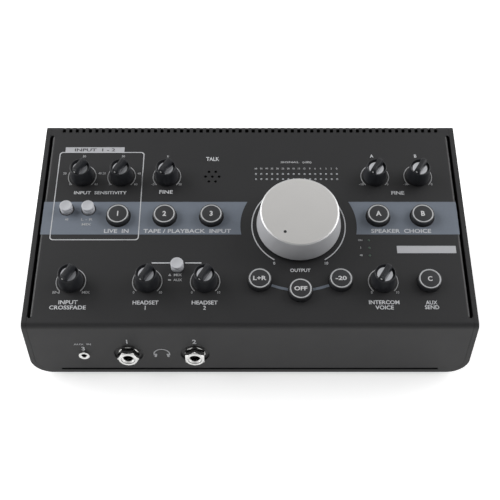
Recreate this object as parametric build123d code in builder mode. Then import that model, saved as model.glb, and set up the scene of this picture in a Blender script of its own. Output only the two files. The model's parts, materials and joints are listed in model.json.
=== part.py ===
from build123d import *
import os
from math import cos, radians, sin, tan

# Desktop studio monitor controller: a wedge-shaped case with one large volume knob.
# Units are millimetres and degrees. +X runs to the user's right, +Y to the rear, +Z up.
# The origin is on the desk, under the middle of the case.

# ------------------------------------------------------------------ driving sizes
# Case
case_width = 297.0
case_depth = 159.4
front_height = 51.0  # chassis underside to the fold of the control panel
panel_tilt = 12.5
wall = 3.2  # bottom and sides of the wrap-round chassis
corner_radius = 14.0  # between the chassis bottom and its sides
sheet = 1.5  # folded cover and rear panel
bend_radius = 4.0  # outside the cover's front and rear folds
side_bend_radius = 2.0  # outside the cover's side folds
seam = 0.15  # cover to chassis, each side
side_groove = 1.7
bottom_groove = 1.8
bottom_groove_inset = 20.0  # from each side of the case
groove_start = 7.0  # along the slope, from the front fold
groove_end_margin = 11.2  # along the slope, from the rear fold
side_flange = 9.0
relief_diameter = 2.2
tab_depth = 12.0
tab_width = 5.6
screw_share = 0.6  # how far along a tab or foot its screw stands
tab_gap = 0.2  # from the end of the bottom groove

# Rear panel and the cover's rear lip
rear_lip = 20.0
rear_panel_drop = 12.0  # from the rear fold to the panel's upper edge
foot_lip = 14.0
foot_lip_bend = 2.5

# Vent slots over the rear fold
vent_count = 58
vent_pitch = 4.761
vent_width = 2.4
vent_reach = 7.4  # down the slope from the rear fold
vent_drop = 2.9  # below the panel's face, so that each slot ends on the fold

# Feet and screws
foot_height = 3.0
foot_diameter = 15.0
foot_edge = 0.8
foot_inset_x = 24.0
foot_inset_y = 18.0
screw_diameter = 2.8
screw_hole = 3.2
screw_head = 5.6
screw_head_height = 1.6
screw_socket = 2.0
screw_socket_depth = 1.0
foot_screw_recess = 0.4
foot_screw_length = 6.6
case_screw_length = 6.0
lip_screw_x = 110.0
rear_screw_x = 96.0

# Control rows and columns: x across, then distance up the slope from the front fold.
# They spread in proportion, so that the outermost ones keep these margins.
side_margin = 21.4  # from the outermost column to the case's side
rear_margin = 46.27  # from the rear row to the rear fold
row_rear = 117.0
row_buttons = 83.6
row_volume = 76.6
row_front = 32.8
row_push = 89.5
column_1 = -118.9
column_2 = -90.95
column_3 = -58.9
column_4 = -26.7
column_volume = 33.35
column_a = 88.4
column_b = 118.9
column_phones_1 = -68.2
column_phones_2 = -29.8
column_push_1 = -127.1
column_push_2 = -112.0
push_phones_x = -48.7
push_phones_s = 44.2
mute_radius = 51.0  # the mono, mute and dim buttons lie on a circle round the volume knob
mute_spread = 31.8

# Rotary controls
shaft_diameter = 6.0
shaft_flat = 1.5
shaft_clearance = 0.05
panel_clearance = 0.75  # shaft to panel hole
cap_gap = 0.6
cap_base_diameter = 16.6
cap_rim = 0.9
cap_neck_diameter = 13.2
cap_neck_height = 12.8
cap_top_diameter = 11.0
cap_height = 16.2
cap_wall = 1.2
cap_hub_diameter = 8.0
cap_cavity = 7.4
grip_width = 3.6
grip_foot_width = 6.0
cap_shoulder = 12.0
scoop_diameter = 10.2  # shallow pockets in the shoulder, one on each side of the grip
scoop_depth = 0.8
rest_angle = 31.0  # pointer at its low stop, clockwise from straight down
rest_angle_volume = 32.0
pot_width = 9.8
pot_length = 11.4
pot_height = 6.6
pot_collar_diameter = 8.6
pot_collar_height = 0.9
shaft_above = 10.4
shaft_below = 5.6

# Volume knob
volume_diameter = 57.4
volume_taper = 1.0  # each side, from the foot to the bevel
volume_bevel_width = 1.0
volume_gap = 2.0
volume_height = 18.4
volume_bevel = 1.1
volume_wall = 3.7  # round the cavity, at the foot
volume_cavity = 13.0
volume_hub_diameter = 15.0
volume_web = 2.4
volume_rib = 1.6
volume_rib_count = 6
volume_dimple_radius = 19.0
volume_dimple = 1.1
volume_dimple_depth = 0.5
volume_insert_inset = 0.6
volume_pot_side = 16.0
volume_shaft_above = 13.6

# Lit buttons
button_diameter = 15.5
button_height = 4.2
button_edge = 0.5
button_clearance = 0.4
button_lip = 0.45  # how far the retaining lip reaches under the panel
button_lip_thickness = 0.9
button_lip_gap = 0.2
button_wall = 1.15
button_top = 1.9
button_stem = 3.6
button_travel = 1.2
ring_outer = 14.4
ring_width = 0.9
ring_depth = 1.2
ring_proud = 0.05
switch_side = 8.0
switch_height = 4.6
switch_well = 4.4
switch_well_spare = 1.6  # under the stem of a button that is down
stem_entry = 0.6

# Latching push buttons
push_diameter = 8.6
push_height = 5.2
push_head = 1.3
push_neck_diameter = 6.4
push_neck = 1.3
push_edge = 0.4
push_dish = 0.35
push_clearance = 0.4
push_travel = 2.5
push_stem = 3.4
latch_side = 9.0
latch_well = 3.8

# Level meter, status lamps and talkback microphone
meter_columns = 16
meter_pitch = 3.835
meter_x = 32.96
meter_s = 117.1
meter_row_gap = 4.4
lamp_diameter = 1.5
lamp_clearance = 0.1
lamp_inset = 0.1
lamp_body = 3.0
status_x = 80.9
status_s = 58.8
status_gap = 5.9
mic_pitch = 4.8
mic_hole = 2.0
mic_diameter = 9.7
mic_height = 5.6
mic_edge = 0.5

# Boards
board = 1.6
control_board_drop = 9.6  # panel face to the top of the control board
control_board_inset = 4.6
control_board_margin = 10.1  # to the front and rear folds, along the slope
main_board_lift = 6.4
main_board_side = 8.5
main_board_edge = 1.0
standoff_diameter = 5.6
control_screw_inset_x = 5.0
control_screw_inset_s = 8.4
control_screw_middle = -10.0
main_screw_inset_x = 11.8
main_screw_inset_y = 33.7
board_screw_length = 6.0

# Jacks on both faces
jack_height = 20.7  # axis above the chassis underside
jack_bore = 6.5
jack_bore_depth = 30.5
jack_mouth = 0.8
jack_thread = 9.4
jack_thread_clearance = 0.15
jack_body_width = 15.0
jack_body_top = 7.7
jack_body_depth = 24.0
washer = 1.0
washer_diameter = 13.6
nut_flats = 12.7
nut_height = 5.2
nut_bevel_diameter = 12.2
nut_bevel = 0.8
thread_short = 0.4
dish_diameter = 19.0
dish_depth = 1.5
dish_edge = 0.7
phones_jack_1 = -81.3
phones_jack_2 = -36.8
phones_jack_2_turn = 30.0
mini_jack_x = -111.0
mini_bore = 3.6
mini_bore_depth = 15.0
mini_mouth = 0.35
mini_thread = 5.8
mini_ring = 7.2
mini_ring_height = 1.5
mini_body_width = 8.0
mini_body_top = 4.4
mini_body_depth = 13.0

# Rear sockets
combo_x = (-119.0, -88.0)
combo_height = 25.7
combo_barrel = 25.0
combo_proud = 1.8
combo_body_width = 27.0
combo_body_top = 14.0
combo_body_depth = 27.0
combo_groove_outer = 19.6
combo_groove_inner = 15.8
combo_groove_depth = 13.0
combo_contact = 2.8
combo_contact_circle = 11.2
combo_contact_depth = 9.0
combo_screw_offset = 11.6
combo_screw_depth = 4.6  # of the threaded hole in the body
line_jack_x = (-59.0, -39.0, 32.0, 52.0, 72.0, 92.0)
footswitch_jack_x = 10.0
usb_x = -16.5
usb_width = 12.0
usb_height = 11.0
usb_depth = 16.0
usb_mouth_width = 8.6
usb_mouth_height = 7.9
usb_mouth_depth = 9.0
usb_tongue_width = 5.6
usb_tongue_height = 3.2
usb_tongue_back = 1.6
usb_proud = 0.8
inlet_gap = 18.5  # from the rocker's column
inlet_width = 9.0
inlet_depth = 14.0
inlet_bore = 6.4
inlet_bore_depth = 9.5
inlet_pin = 2.0
inlet_pin_back = 1.2
inlet_proud = 0.6
socket_clearance = 0.25

# Power rocker
rocker_margin = 18.0  # to the case's side
rocker_height = 42.0
rocker_bezel_width = 15.0
rocker_bezel_height = 21.0
rocker_bezel = 2.0
rocker_bezel_edge = 0.8
rocker_body_width = 12.8
rocker_body_height = 19.0
rocker_body_depth = 14.0
rocker_width = 9.8
rocker_radius = 7.9
rocker_clearance = 0.3
rocker_face = 3.4
rocker_back = 3.0
rocker_throw = 22.0
rocker_pocket = 8.0
trunnion_diameter = 2.4
trunnion_reach = 0.8

# Ribbon cable between the two boards
ribbon_width = 20.0
ribbon_thickness = 0.9
ribbon_x = -10.0
ribbon_board_s = 66.0
header_length = 24.0
header_width = 6.0
header_height = 5.0
ribbon_lead = 8.0
ribbon_slack = 16.0

# ------------------------------------------------------------------ planes and places
tilt = radians(panel_tilt)
front_y = -case_depth / 2
rear_y = case_depth / 2
floor_z = foot_height
deck_z = floor_z + wall
front_top = floor_z + front_height
rear_top = front_top + case_depth * tan(tilt)
slope_length = case_depth / cos(tilt)
groove_end = slope_length - groove_end_margin
bottom_groove_length = case_width - 2 * bottom_groove_inset
flange_x = case_width / 2 - wall - side_groove
board_z = deck_z + main_board_lift + board

panel = Plane(origin=(0, front_y, front_top), x_dir=(1, 0, 0), z_dir=(0, -sin(tilt), cos(tilt)))
front_face = Plane(origin=(0, front_y, floor_z), x_dir=(1, 0, 0), z_dir=(0, -1, 0))
rear_plate_y = rear_y - sheet
rear_face = Plane(origin=(0, rear_plate_y, floor_z), x_dir=(-1, 0, 0), z_dir=(0, 1, 0))
control_board_top = panel.offset(-control_board_drop)


def across(x):
    """Distance across the case, spread so that the outermost column keeps its margin."""
    return x * (case_width / 2 - side_margin) / -column_push_1


def placed(x, s):
    """Column and row on the control panel, spread so that the outermost ones keep their margins."""
    return (across(x), s * (slope_length - rear_margin) / row_rear)


def spot(x, s, turn=0.0):
    """Plane on the control panel at column x and slope distance s, turned about its normal."""
    point = panel.from_local_coords((x, s, 0))
    across = Vector(1, 0, 0).rotate(Axis(point, panel.z_dir), turn)
    return Plane(origin=point, x_dir=across, z_dir=panel.z_dir)


def section_of(place):
    """Plane that holds the normal of a place: x across it, y along its normal."""
    return Plane(origin=place.origin, x_dir=place.x_dir, z_dir=-place.y_dir)


def axis_of(place):
    """Axis along the normal of a place."""
    return Axis(place.origin, place.z_dir)


volume_spot = placed(column_volume, row_volume)


def mute_spot(angle):
    """Column and row of a button on the circle round the volume knob."""
    turn = radians(angle)
    return (volume_spot[0] + mute_radius * sin(turn), volume_spot[1] - mute_radius * cos(turn))


rotary_controls = {
    "gain_1": placed(column_1, row_rear),
    "gain_2": placed(column_2, row_rear),
    "line_trim": placed(column_3, row_rear),
    "trim_a": placed(column_a, row_rear),
    "trim_b": placed(column_b, row_rear),
    "blend": placed(column_1, row_front),
    "phones_1": placed(column_phones_1, row_front),
    "phones_2": placed(column_phones_2, row_front),
    "talkback": placed(column_a, row_front),
}
lit_buttons = {
    "source_1": placed(column_2, row_buttons),
    "source_2": placed(column_3, row_buttons),
    "source_3": placed(column_4, row_buttons),
    "monitor_a": placed(column_a, row_buttons),
    "monitor_b": placed(column_b, row_buttons),
    "mono": mute_spot(-mute_spread),
    "mute": mute_spot(0),
    "dim": mute_spot(mute_spread),
    "cue": placed(column_b, row_front),
}
push_buttons = {
    "phantom": placed(column_push_1, row_push),
    "pan": placed(column_push_2, row_push),
    "phones_source": placed(push_phones_x, push_phones_s),
}
rotary_spots = list(rotary_controls.values())
button_spots = list(lit_buttons.values())
push_spots = list(push_buttons.values())
meter_middle = placed(meter_x, meter_s)
status_spot = placed(status_x, status_s)
mic_spot = placed(column_4, row_rear)

foot_spots = (case_width - 2 * foot_inset_x, case_depth - 2 * foot_inset_y)
tab_x = bottom_groove_length / 2 + tab_gap + tab_width / 2
tab_y = front_y + tab_depth * screw_share
lip_screw_y = rear_plate_y - foot_lip * screw_share
lip_screws = [(x, lip_screw_y) for x in (across(-lip_screw_x), 0, across(lip_screw_x))]
rear_screw_pitch = across(rear_screw_x)
rear_screw_z = rear_top - (rear_lip + rear_panel_drop) / 2
control_board_width = 2 * (flange_x - sheet - control_board_inset)
control_board_length = slope_length - 2 * control_board_margin
control_screw_x = control_board_width / 2 - control_screw_inset_x
control_screw_s = control_board_margin + control_screw_inset_s
control_screws = [
    (x, s)
    for x in (-control_screw_x, across(control_screw_middle), control_screw_x)
    for s in (control_screw_s, slope_length - control_screw_s)
]
main_board_width = case_width - 2 * (wall + main_board_side)
main_board_front = front_y + dish_depth + sheet + main_board_edge
main_board_rear = rear_plate_y - sheet - main_board_edge
main_screw_x = main_board_width / 2 - main_screw_inset_x
main_screw_rows = (main_board_front + main_screw_inset_y, main_board_rear - main_screw_inset_y)
main_screws = [(x, y) for x in (-main_screw_x, 0, main_screw_x) for y in main_screw_rows]

# Planes at the jacks' seats: the face that each washer lies on, outward along the normal
jack_seats = {}
for jack_name, jack_x in (("phones_1", phones_jack_1), ("phones_2", phones_jack_2)):
    jack_seats[jack_name] = Plane(
        origin=(across(jack_x), front_y + dish_depth, floor_z + jack_height),
        x_dir=(1, 0, 0),
        z_dir=(0, -1, 0),
    )
for jack_index, jack_x in enumerate(line_jack_x + (footswitch_jack_x,)):
    jack_seats[f"rear_{jack_index}"] = Plane(
        origin=(across(jack_x), rear_plate_y, floor_z + jack_height),
        x_dir=(-1, 0, 0),
        z_dir=(0, 1, 0),
    )
front_jack_seats = [jack_seats["phones_1"], jack_seats["phones_2"]]
rear_jack_seats = [jack_seats[f"rear_{n}"] for n in range(len(line_jack_x) + 1)]
mini_seat = Plane(
    origin=(across(mini_jack_x), front_y, floor_z + jack_height), x_dir=(1, 0, 0), z_dir=(0, -1, 0)
)
combo_seats = [
    Plane(origin=(across(x), rear_plate_y, floor_z + combo_height), x_dir=(-1, 0, 0), z_dir=(0, 1, 0))
    for x in combo_x
]
combo_screw_spots = [
    (combo_screw_offset, combo_screw_offset),
    (-combo_screw_offset, -combo_screw_offset),
]
usb_column = across(-usb_x)  # the rear face's own x runs the other way
rocker_column = rocker_margin - case_width / 2
inlet_column = rocker_column + inlet_gap
nut_stack = washer + nut_height
shaft_seat = control_board_drop - pot_height - pot_collar_height + shaft_below - seam

os.makedirs("parts", exist_ok=True)


def save(piece, name):
    """Label a finished piece and write it as its own STEP file."""
    piece.part.label = name
    export_step(piece.part, f"parts/{name}.step")


# ------------------------------------------------------------------ case
def bay_outline(clearance):
    """Front view of the room inside the chassis, less a clearance at each side."""
    with BuildSketch(Plane.XZ) as bay:
        with Locations((0, deck_z)):
            Rectangle(
                case_width - 2 * (wall + clearance), rear_top, align=(Align.CENTER, Align.MIN)
            )
        fillet(bay.vertices().group_by(Axis.Y)[0], corner_radius - wall)
    return bay.sketch


# The chassis: bottom and sides bent from one thick plate, with its upper edges on the slope
with BuildPart() as wrap_chassis:
    with BuildSketch(Plane.XZ):
        with BuildLine():
            FilletPolyline(
                (-case_width / 2, rear_top),
                (-case_width / 2, floor_z),
                (case_width / 2, floor_z),
                (case_width / 2, rear_top),
                radius=corner_radius,
            )
            offset(amount=wall, side=Side.LEFT)
        make_face()
    extrude(amount=case_depth / 2, both=True)
    with BuildSketch(Plane.YZ) as side_view:
        with BuildLine():
            Polyline(
                (front_y, floor_z),
                (rear_y, floor_z),
                (rear_y, rear_top),
                (front_y, front_top),
                close=True,
            )
        make_face()
        fillet(side_view.vertices().sort_by(Axis.Y)[-2:], bend_radius)
    extrude(amount=case_width / 2, both=True, mode=Mode.INTERSECT)
    with BuildSketch(Plane.XY.offset(floor_z)):
        with GridLocations(*foot_spots, 2, 2):
            Circle(screw_diameter / 2)
        with Locations((-tab_x, tab_y), (tab_x, tab_y)):
            Circle(screw_hole / 2)
        with Locations(*lip_screws):
            Circle(screw_hole / 2)
    extrude(amount=wall, mode=Mode.SUBTRACT)
save(wrap_chassis, "wrap_chassis")

# The cover: front, sloping panel and rear lip folded from one sheet
side_section = Plane(
    origin=panel.from_local_coords((0, groove_start, 0)), x_dir=(1, 0, 0), z_dir=-panel.y_dir
)
fold_strip = side_bend_radius + sheet
with BuildPart() as top_cover:
    with BuildSketch(Plane.YZ):
        with BuildLine():
            FilletPolyline(
                (front_y, deck_z),
                (front_y, front_top),
                (rear_y, rear_top),
                (rear_y, rear_top - rear_lip),
                radius=bend_radius,
            )
            offset(amount=sheet, side=Side.RIGHT)
        make_face()
    extrude(amount=case_width / 2, both=True)
    extrude(bay_outline(seam), amount=case_depth, both=True, mode=Mode.INTERSECT)
    # room for the side folds, and a relief hole at each end of each fold
    with BuildSketch(panel):
        with Locations((0, (groove_start + groove_end) / 2)):
            with GridLocations(2 * flange_x, 0, 2, 1):
                Rectangle(2 * fold_strip, groove_end - groove_start)
            with GridLocations(2 * flange_x, groove_end - groove_start, 2, 2):
                Circle(relief_diameter / 2)
    extrude(amount=-2 * sheet, mode=Mode.SUBTRACT)
    # the side folds, bent down beside the grooves
    with BuildSketch(side_section):
        with BuildLine():
            FilletPolyline(
                (flange_x - fold_strip, 0),
                (flange_x, 0),
                (flange_x, -side_flange),
                radius=side_bend_radius,
            )
            offset(amount=sheet, side=Side.RIGHT)
        make_face()
        mirror(about=Plane.YZ)
    extrude(amount=-(groove_end - groove_start))
    # air gap under the front, and a screw tab at each end of it
    with BuildSketch(front_face):
        with Locations((0, wall)):
            Rectangle(bottom_groove_length, bottom_groove, align=(Align.CENTER, Align.MIN))
    extrude(amount=-sheet, mode=Mode.SUBTRACT)
    with BuildSketch(Plane.XY.offset(deck_z)):
        with Locations((-tab_x, front_y), (tab_x, front_y)):
            Rectangle(tab_width, tab_depth, align=(Align.CENTER, Align.MIN))
    extrude(amount=sheet)
    with BuildSketch(Plane.XY.offset(deck_z)):
        with Locations((-tab_x, tab_y), (tab_x, tab_y)):
            Circle(screw_diameter / 2)
    extrude(amount=sheet, mode=Mode.SUBTRACT)
    # holes of the control panel
    with BuildSketch(panel):
        with Locations(*rotary_spots, volume_spot):
            Circle(shaft_diameter / 2 + panel_clearance)
        with Locations(*button_spots):
            Circle(button_diameter / 2 + button_clearance)
        with Locations(*push_spots):
            Circle(push_diameter / 2 + push_clearance)
        with Locations(meter_middle):
            with GridLocations(meter_pitch, meter_row_gap, meter_columns, 2):
                Circle(lamp_diameter / 2 + lamp_clearance)
        with Locations(status_spot):
            with GridLocations(0, status_gap, 1, 3):
                Circle(lamp_diameter / 2 + lamp_clearance)
        with Locations(mic_spot):
            Circle(mic_hole / 2)
            with PolarLocations(mic_pitch, 6):
                Circle(mic_hole / 2)
    extrude(amount=-sheet, mode=Mode.SUBTRACT)
    # pressed dishes round the headphone jacks
    for seat in front_jack_seats:
        with BuildSketch(seat.offset(dish_depth - sheet)):
            Circle(dish_diameter / 2 + sheet)
        extrude(amount=-dish_depth)
        with BuildSketch(seat):
            Circle(dish_diameter / 2)
        extrude(amount=dish_depth, mode=Mode.SUBTRACT)
        with BuildSketch(seat):
            Circle(jack_thread / 2 + jack_thread_clearance)
        extrude(amount=-sheet, mode=Mode.SUBTRACT)
    dish_rims = top_cover.edges().filter_by(
        lambda edge: edge.geom_type == GeomType.CIRCLE
        and abs(edge.radius - dish_diameter / 2) < seam
        and abs(edge.arc_center.Y - front_y) < seam
    )
    fillet(dish_rims, dish_edge)
    with BuildSketch(mini_seat):
        Circle(mini_thread / 2 + jack_thread_clearance)
    extrude(amount=-sheet, mode=Mode.SUBTRACT)
    # vent slots over the rear fold
    with BuildSketch(panel):
        with Locations((0, slope_length)):
            with GridLocations(vent_pitch, 0, vent_count, 1):
                Rectangle(vent_width, 2 * vent_reach)
    extrude(amount=-vent_drop, mode=Mode.SUBTRACT)
    # screw holes of the rear lip
    with BuildSketch(Plane(origin=(0, rear_y, rear_screw_z), x_dir=(1, 0, 0), z_dir=(0, -1, 0))):
        with GridLocations(rear_screw_pitch, 0, 3, 1):
            Circle(screw_hole / 2)
    extrude(amount=sheet, mode=Mode.SUBTRACT)
save(top_cover, "top_cover")

# The rear panel: a plate with a foot, inside the cover's lip
with BuildPart() as rear_panel:
    with BuildSketch(Plane.YZ):
        with BuildLine():
            FilletPolyline(
                (rear_plate_y, rear_top - rear_panel_drop),
                (rear_plate_y, deck_z),
                (rear_plate_y - foot_lip, deck_z),
                radius=foot_lip_bend,
            )
            offset(amount=sheet, side=Side.RIGHT)
        make_face()
    extrude(amount=case_width / 2, both=True)
    extrude(bay_outline(seam), amount=case_depth, both=True, mode=Mode.INTERSECT)
    with BuildSketch(Plane.XY.offset(deck_z)):
        with Locations(*lip_screws):
            Circle(screw_diameter / 2)
    extrude(amount=sheet, mode=Mode.SUBTRACT)
    for seat in rear_jack_seats:
        with BuildSketch(seat):
            Circle(jack_thread / 2 + jack_thread_clearance)
        extrude(amount=-sheet, mode=Mode.SUBTRACT)
    for seat in combo_seats:
        with BuildSketch(seat):
            Circle(combo_barrel / 2 + socket_clearance)
            with Locations(*combo_screw_spots):
                Circle(screw_hole / 2)
        extrude(amount=-sheet, mode=Mode.SUBTRACT)
    with BuildSketch(rear_face):
        with Locations((usb_column, board_z - floor_z)):
            Rectangle(
                usb_width + 2 * socket_clearance,
                usb_height + socket_clearance,
                align=(Align.CENTER, Align.MIN),
            )
        with Locations((inlet_column, board_z - floor_z)):
            Rectangle(
                inlet_width + 2 * socket_clearance,
                inlet_width + socket_clearance,
                align=(Align.CENTER, Align.MIN),
            )
        with Locations((rocker_column, rocker_height)):
            Rectangle(
                rocker_body_width + 2 * socket_clearance, rocker_body_height + 2 * socket_clearance
            )
    extrude(amount=-sheet, mode=Mode.SUBTRACT)
    with BuildSketch(Plane(origin=(0, rear_plate_y, rear_screw_z), x_dir=(1, 0, 0), z_dir=(0, -1, 0))):
        with GridLocations(rear_screw_pitch, 0, 3, 1):
            Circle(screw_diameter / 2)
    extrude(amount=sheet, mode=Mode.SUBTRACT)
save(rear_panel, "rear_panel")

# Rubber feet with a counterbored screw hole
with BuildPart() as rubber_feet:
    with BuildSketch():
        with GridLocations(*foot_spots, 2, 2):
            Circle(foot_diameter / 2)
    extrude(amount=foot_height)
    fillet(rubber_feet.edges().group_by(Axis.Z)[0], foot_edge)
    with GridLocations(*foot_spots, 2, 2):
        Cylinder(
            screw_hole / 2,
            foot_height,
            align=(Align.CENTER, Align.CENTER, Align.MIN),
            mode=Mode.SUBTRACT,
        )
        Cylinder(
            screw_head / 2 + seam,
            foot_screw_recess + screw_head_height,
            align=(Align.CENTER, Align.CENTER, Align.MIN),
            mode=Mode.SUBTRACT,
        )
save(rubber_feet, "rubber_feet")


def place_screws(under_head, length):
    """Pan-head screws at a list of planes, each lying under its head with z along its shank."""
    with BuildPart() as screws:
        for place in under_head:
            with BuildSketch(place):
                Circle(screw_diameter / 2)
            extrude(amount=length)
            with BuildSketch(place):
                Circle(screw_head / 2)
            extrude(amount=-screw_head_height)
            with BuildSketch(place.offset(-screw_head_height)):
                RegularPolygon(screw_socket, 6)
            extrude(amount=screw_socket_depth, mode=Mode.SUBTRACT)
    return screws


foot_screw_places = [
    Plane(origin=(x, y, foot_screw_recess + screw_head_height))
    for x in (-foot_spots[0] / 2, foot_spots[0] / 2)
    for y in (-foot_spots[1] / 2, foot_spots[1] / 2)
]
foot_screws = place_screws(foot_screw_places, foot_screw_length)
save(foot_screws, "foot_screws")

case_screw_places = [Plane(origin=(x, tab_y, floor_z)) for x in (-tab_x, tab_x)]
case_screw_places += [Plane(origin=(x, y, floor_z)) for x, y in lip_screws]
case_screw_places += [
    Plane(origin=(x, rear_y, rear_screw_z), x_dir=(1, 0, 0), z_dir=(0, -1, 0))
    for x in (-rear_screw_pitch, 0, rear_screw_pitch)
]
case_screw_places += [
    Plane(origin=seat.from_local_coords(at), x_dir=(1, 0, 0), z_dir=-seat.z_dir)
    for seat in combo_seats
    for at in combo_screw_spots
]
case_screws = place_screws(case_screw_places, case_screw_length)
save(case_screws, "case_screws")

# ------------------------------------------------------------------ boards
with BuildPart() as control_board:
    with BuildSketch(control_board_top):
        with Locations((0, slope_length / 2)):
            Rectangle(control_board_width, control_board_length)
        with Locations(*control_screws):
            Circle(screw_hole / 2, mode=Mode.SUBTRACT)
    extrude(amount=-board)
save(control_board, "control_board")

with BuildPart() as main_board:
    with BuildSketch(Plane.XY.offset(board_z - board)):
        with Locations((0, (main_board_front + main_board_rear) / 2)):
            Rectangle(main_board_width, main_board_rear - main_board_front)
        with Locations(*main_screws):
            Circle(screw_hole / 2, mode=Mode.SUBTRACT)
    extrude(amount=board)
save(main_board, "main_board")

standoff_drop = control_board_drop - sheet
with BuildPart() as board_standoffs:
    with BuildSketch(panel.offset(-sheet)):
        with Locations(*control_screws):
            Circle(standoff_diameter / 2)
            Circle(screw_diameter / 2, mode=Mode.SUBTRACT)
    extrude(amount=-standoff_drop)
    with BuildSketch(Plane.XY.offset(deck_z)):
        with Locations(*main_screws):
            Circle(standoff_diameter / 2)
            Circle(screw_diameter / 2, mode=Mode.SUBTRACT)
    extrude(amount=main_board_lift)
save(board_standoffs, "board_standoffs")

board_screw_places = [
    Plane(
        origin=control_board_top.from_local_coords((x, s, -board)), x_dir=(1, 0, 0), z_dir=panel.z_dir
    )
    for x, s in control_screws
]
board_screw_places += [
    Plane(origin=(x, y, board_z), x_dir=(1, 0, 0), z_dir=(0, 0, -1)) for x, y in main_screws
]
board_screws = place_screws(board_screw_places, board_screw_length)
save(board_screws, "board_screws")

# ------------------------------------------------------------------ jacks and sockets
jack_body_bottom = jack_height + floor_z - board_z


def quarter_inch_jacks(seats):
    """Jack bodies behind a panel, each with its threaded bushing and blind bore."""
    with BuildPart() as jacks:
        for seat in seats:
            behind = seat.offset(-sheet)
            mouth = seat.offset(nut_stack - thread_short)
            with BuildSketch(behind):
                with Locations((0, -jack_body_bottom)):
                    Rectangle(
                        jack_body_width,
                        jack_body_bottom + jack_body_top,
                        align=(Align.CENTER, Align.MIN),
                    )
            extrude(amount=-jack_body_depth)
            with BuildSketch(behind):
                Circle(jack_thread / 2)
            extrude(amount=sheet + nut_stack - thread_short)
            with BuildSketch(mouth):
                Circle(jack_bore / 2)
            extrude(amount=-jack_bore_depth, mode=Mode.SUBTRACT)
            with BuildSketch(mouth):
                Circle(jack_bore / 2 + jack_mouth)
            extrude(amount=-jack_mouth, taper=45, mode=Mode.SUBTRACT)
    return jacks


headphone_jacks = quarter_inch_jacks(front_jack_seats)
save(headphone_jacks, "headphone_jacks")

line_jacks = quarter_inch_jacks(rear_jack_seats)
save(line_jacks, "line_jacks")

with BuildPart() as mini_jack:
    with BuildSketch(mini_seat.offset(-sheet)):
        with Locations((0, -jack_body_bottom)):
            Rectangle(mini_body_width, jack_body_bottom + mini_body_top, align=(Align.CENTER, Align.MIN))
    extrude(amount=-mini_body_depth)
    with BuildSketch(mini_seat.offset(-sheet)):
        Circle(mini_thread / 2)
    extrude(amount=sheet + mini_ring_height)
    with BuildSketch(mini_seat.offset(mini_ring_height)):
        Circle(mini_bore / 2)
    extrude(amount=-mini_bore_depth, mode=Mode.SUBTRACT)
    with BuildSketch(mini_seat.offset(mini_ring_height)):
        Circle(mini_bore / 2 + mini_mouth)
    extrude(amount=-mini_mouth, taper=45, mode=Mode.SUBTRACT)
save(mini_jack, "mini_jack")

# Washers, hexagon nuts with a turned front bevel, and the small jack's ring nut
nut_turns = [0.0, phones_jack_2_turn] + [0.0] * len(rear_jack_seats)
with BuildPart() as jack_nuts:
    for seat, turn in zip(front_jack_seats + rear_jack_seats, nut_turns):
        with BuildSketch(seat.offset(washer)):
            RegularPolygon(nut_flats / 2, 6, major_radius=False, rotation=turn)
            Circle(jack_thread / 2, mode=Mode.SUBTRACT)
        extrude(amount=nut_height)
        # the bevel: all of the nut outside a cone at its front edge
        with BuildSketch(seat.offset(nut_stack)):
            Circle(nut_flats)
            Circle(nut_bevel_diameter / 2, mode=Mode.SUBTRACT)
        extrude(amount=-nut_bevel, taper=45, mode=Mode.SUBTRACT)
    for seat in front_jack_seats + rear_jack_seats:
        with BuildSketch(seat):
            Circle(washer_diameter / 2)
            Circle(jack_thread / 2, mode=Mode.SUBTRACT)
        extrude(amount=washer)
    with BuildSketch(mini_seat):
        Circle(mini_ring / 2)
        Circle(mini_thread / 2, mode=Mode.SUBTRACT)
    extrude(amount=mini_ring_height)
save(jack_nuts, "jack_nuts")

# Combined microphone and line sockets: groove for a plug's shell, three contacts, centre bore
with BuildPart() as combo_jacks:
    for seat in combo_seats:
        front = seat.offset(combo_proud)
        body_bottom = combo_height + floor_z - board_z
        with BuildSketch(seat.offset(-sheet)):
            with Locations((0, -body_bottom)):
                Rectangle(
                    combo_body_width, body_bottom + combo_body_top, align=(Align.CENTER, Align.MIN)
                )
        extrude(amount=-combo_body_depth)
        with BuildSketch(seat.offset(-sheet)):
            Circle(combo_barrel / 2)
        extrude(amount=sheet + combo_proud)
        with BuildSketch(front):
            Circle(combo_groove_outer / 2)
            Circle(combo_groove_inner / 2, mode=Mode.SUBTRACT)
        extrude(amount=-combo_groove_depth, mode=Mode.SUBTRACT)
        with BuildSketch(front):
            with PolarLocations(combo_contact_circle / 2, 3, start_angle=90):
                Circle(combo_contact / 2)
        extrude(amount=-combo_contact_depth, mode=Mode.SUBTRACT)
        with BuildSketch(front):
            Circle(jack_bore / 2)
        extrude(amount=-(combo_body_depth + combo_proud), mode=Mode.SUBTRACT)
        with BuildSketch(seat.offset(-sheet)):
            with Locations(*combo_screw_spots):
                Circle(screw_diameter / 2)
        extrude(amount=-combo_screw_depth, mode=Mode.SUBTRACT)
save(combo_jacks, "combo_jacks")

usb_middle = board_z - floor_z + usb_height / 2
usb_front = rear_face.offset(usb_proud)
with BuildPart() as usb_socket:
    with BuildSketch(usb_front):
        with Locations((usb_column, usb_middle)):
            Rectangle(usb_width, usb_height)
    extrude(amount=-usb_depth)
    with BuildSketch(usb_front):
        with Locations((usb_column, usb_middle)):
            Rectangle(usb_mouth_width, usb_mouth_height)
    extrude(amount=-usb_mouth_depth, mode=Mode.SUBTRACT)
    with BuildSketch(usb_front.offset(-usb_mouth_depth)):
        with Locations((usb_column, usb_middle)):
            Rectangle(usb_tongue_width, usb_tongue_height)
    extrude(amount=usb_mouth_depth - usb_tongue_back)
save(usb_socket, "usb_socket")

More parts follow.
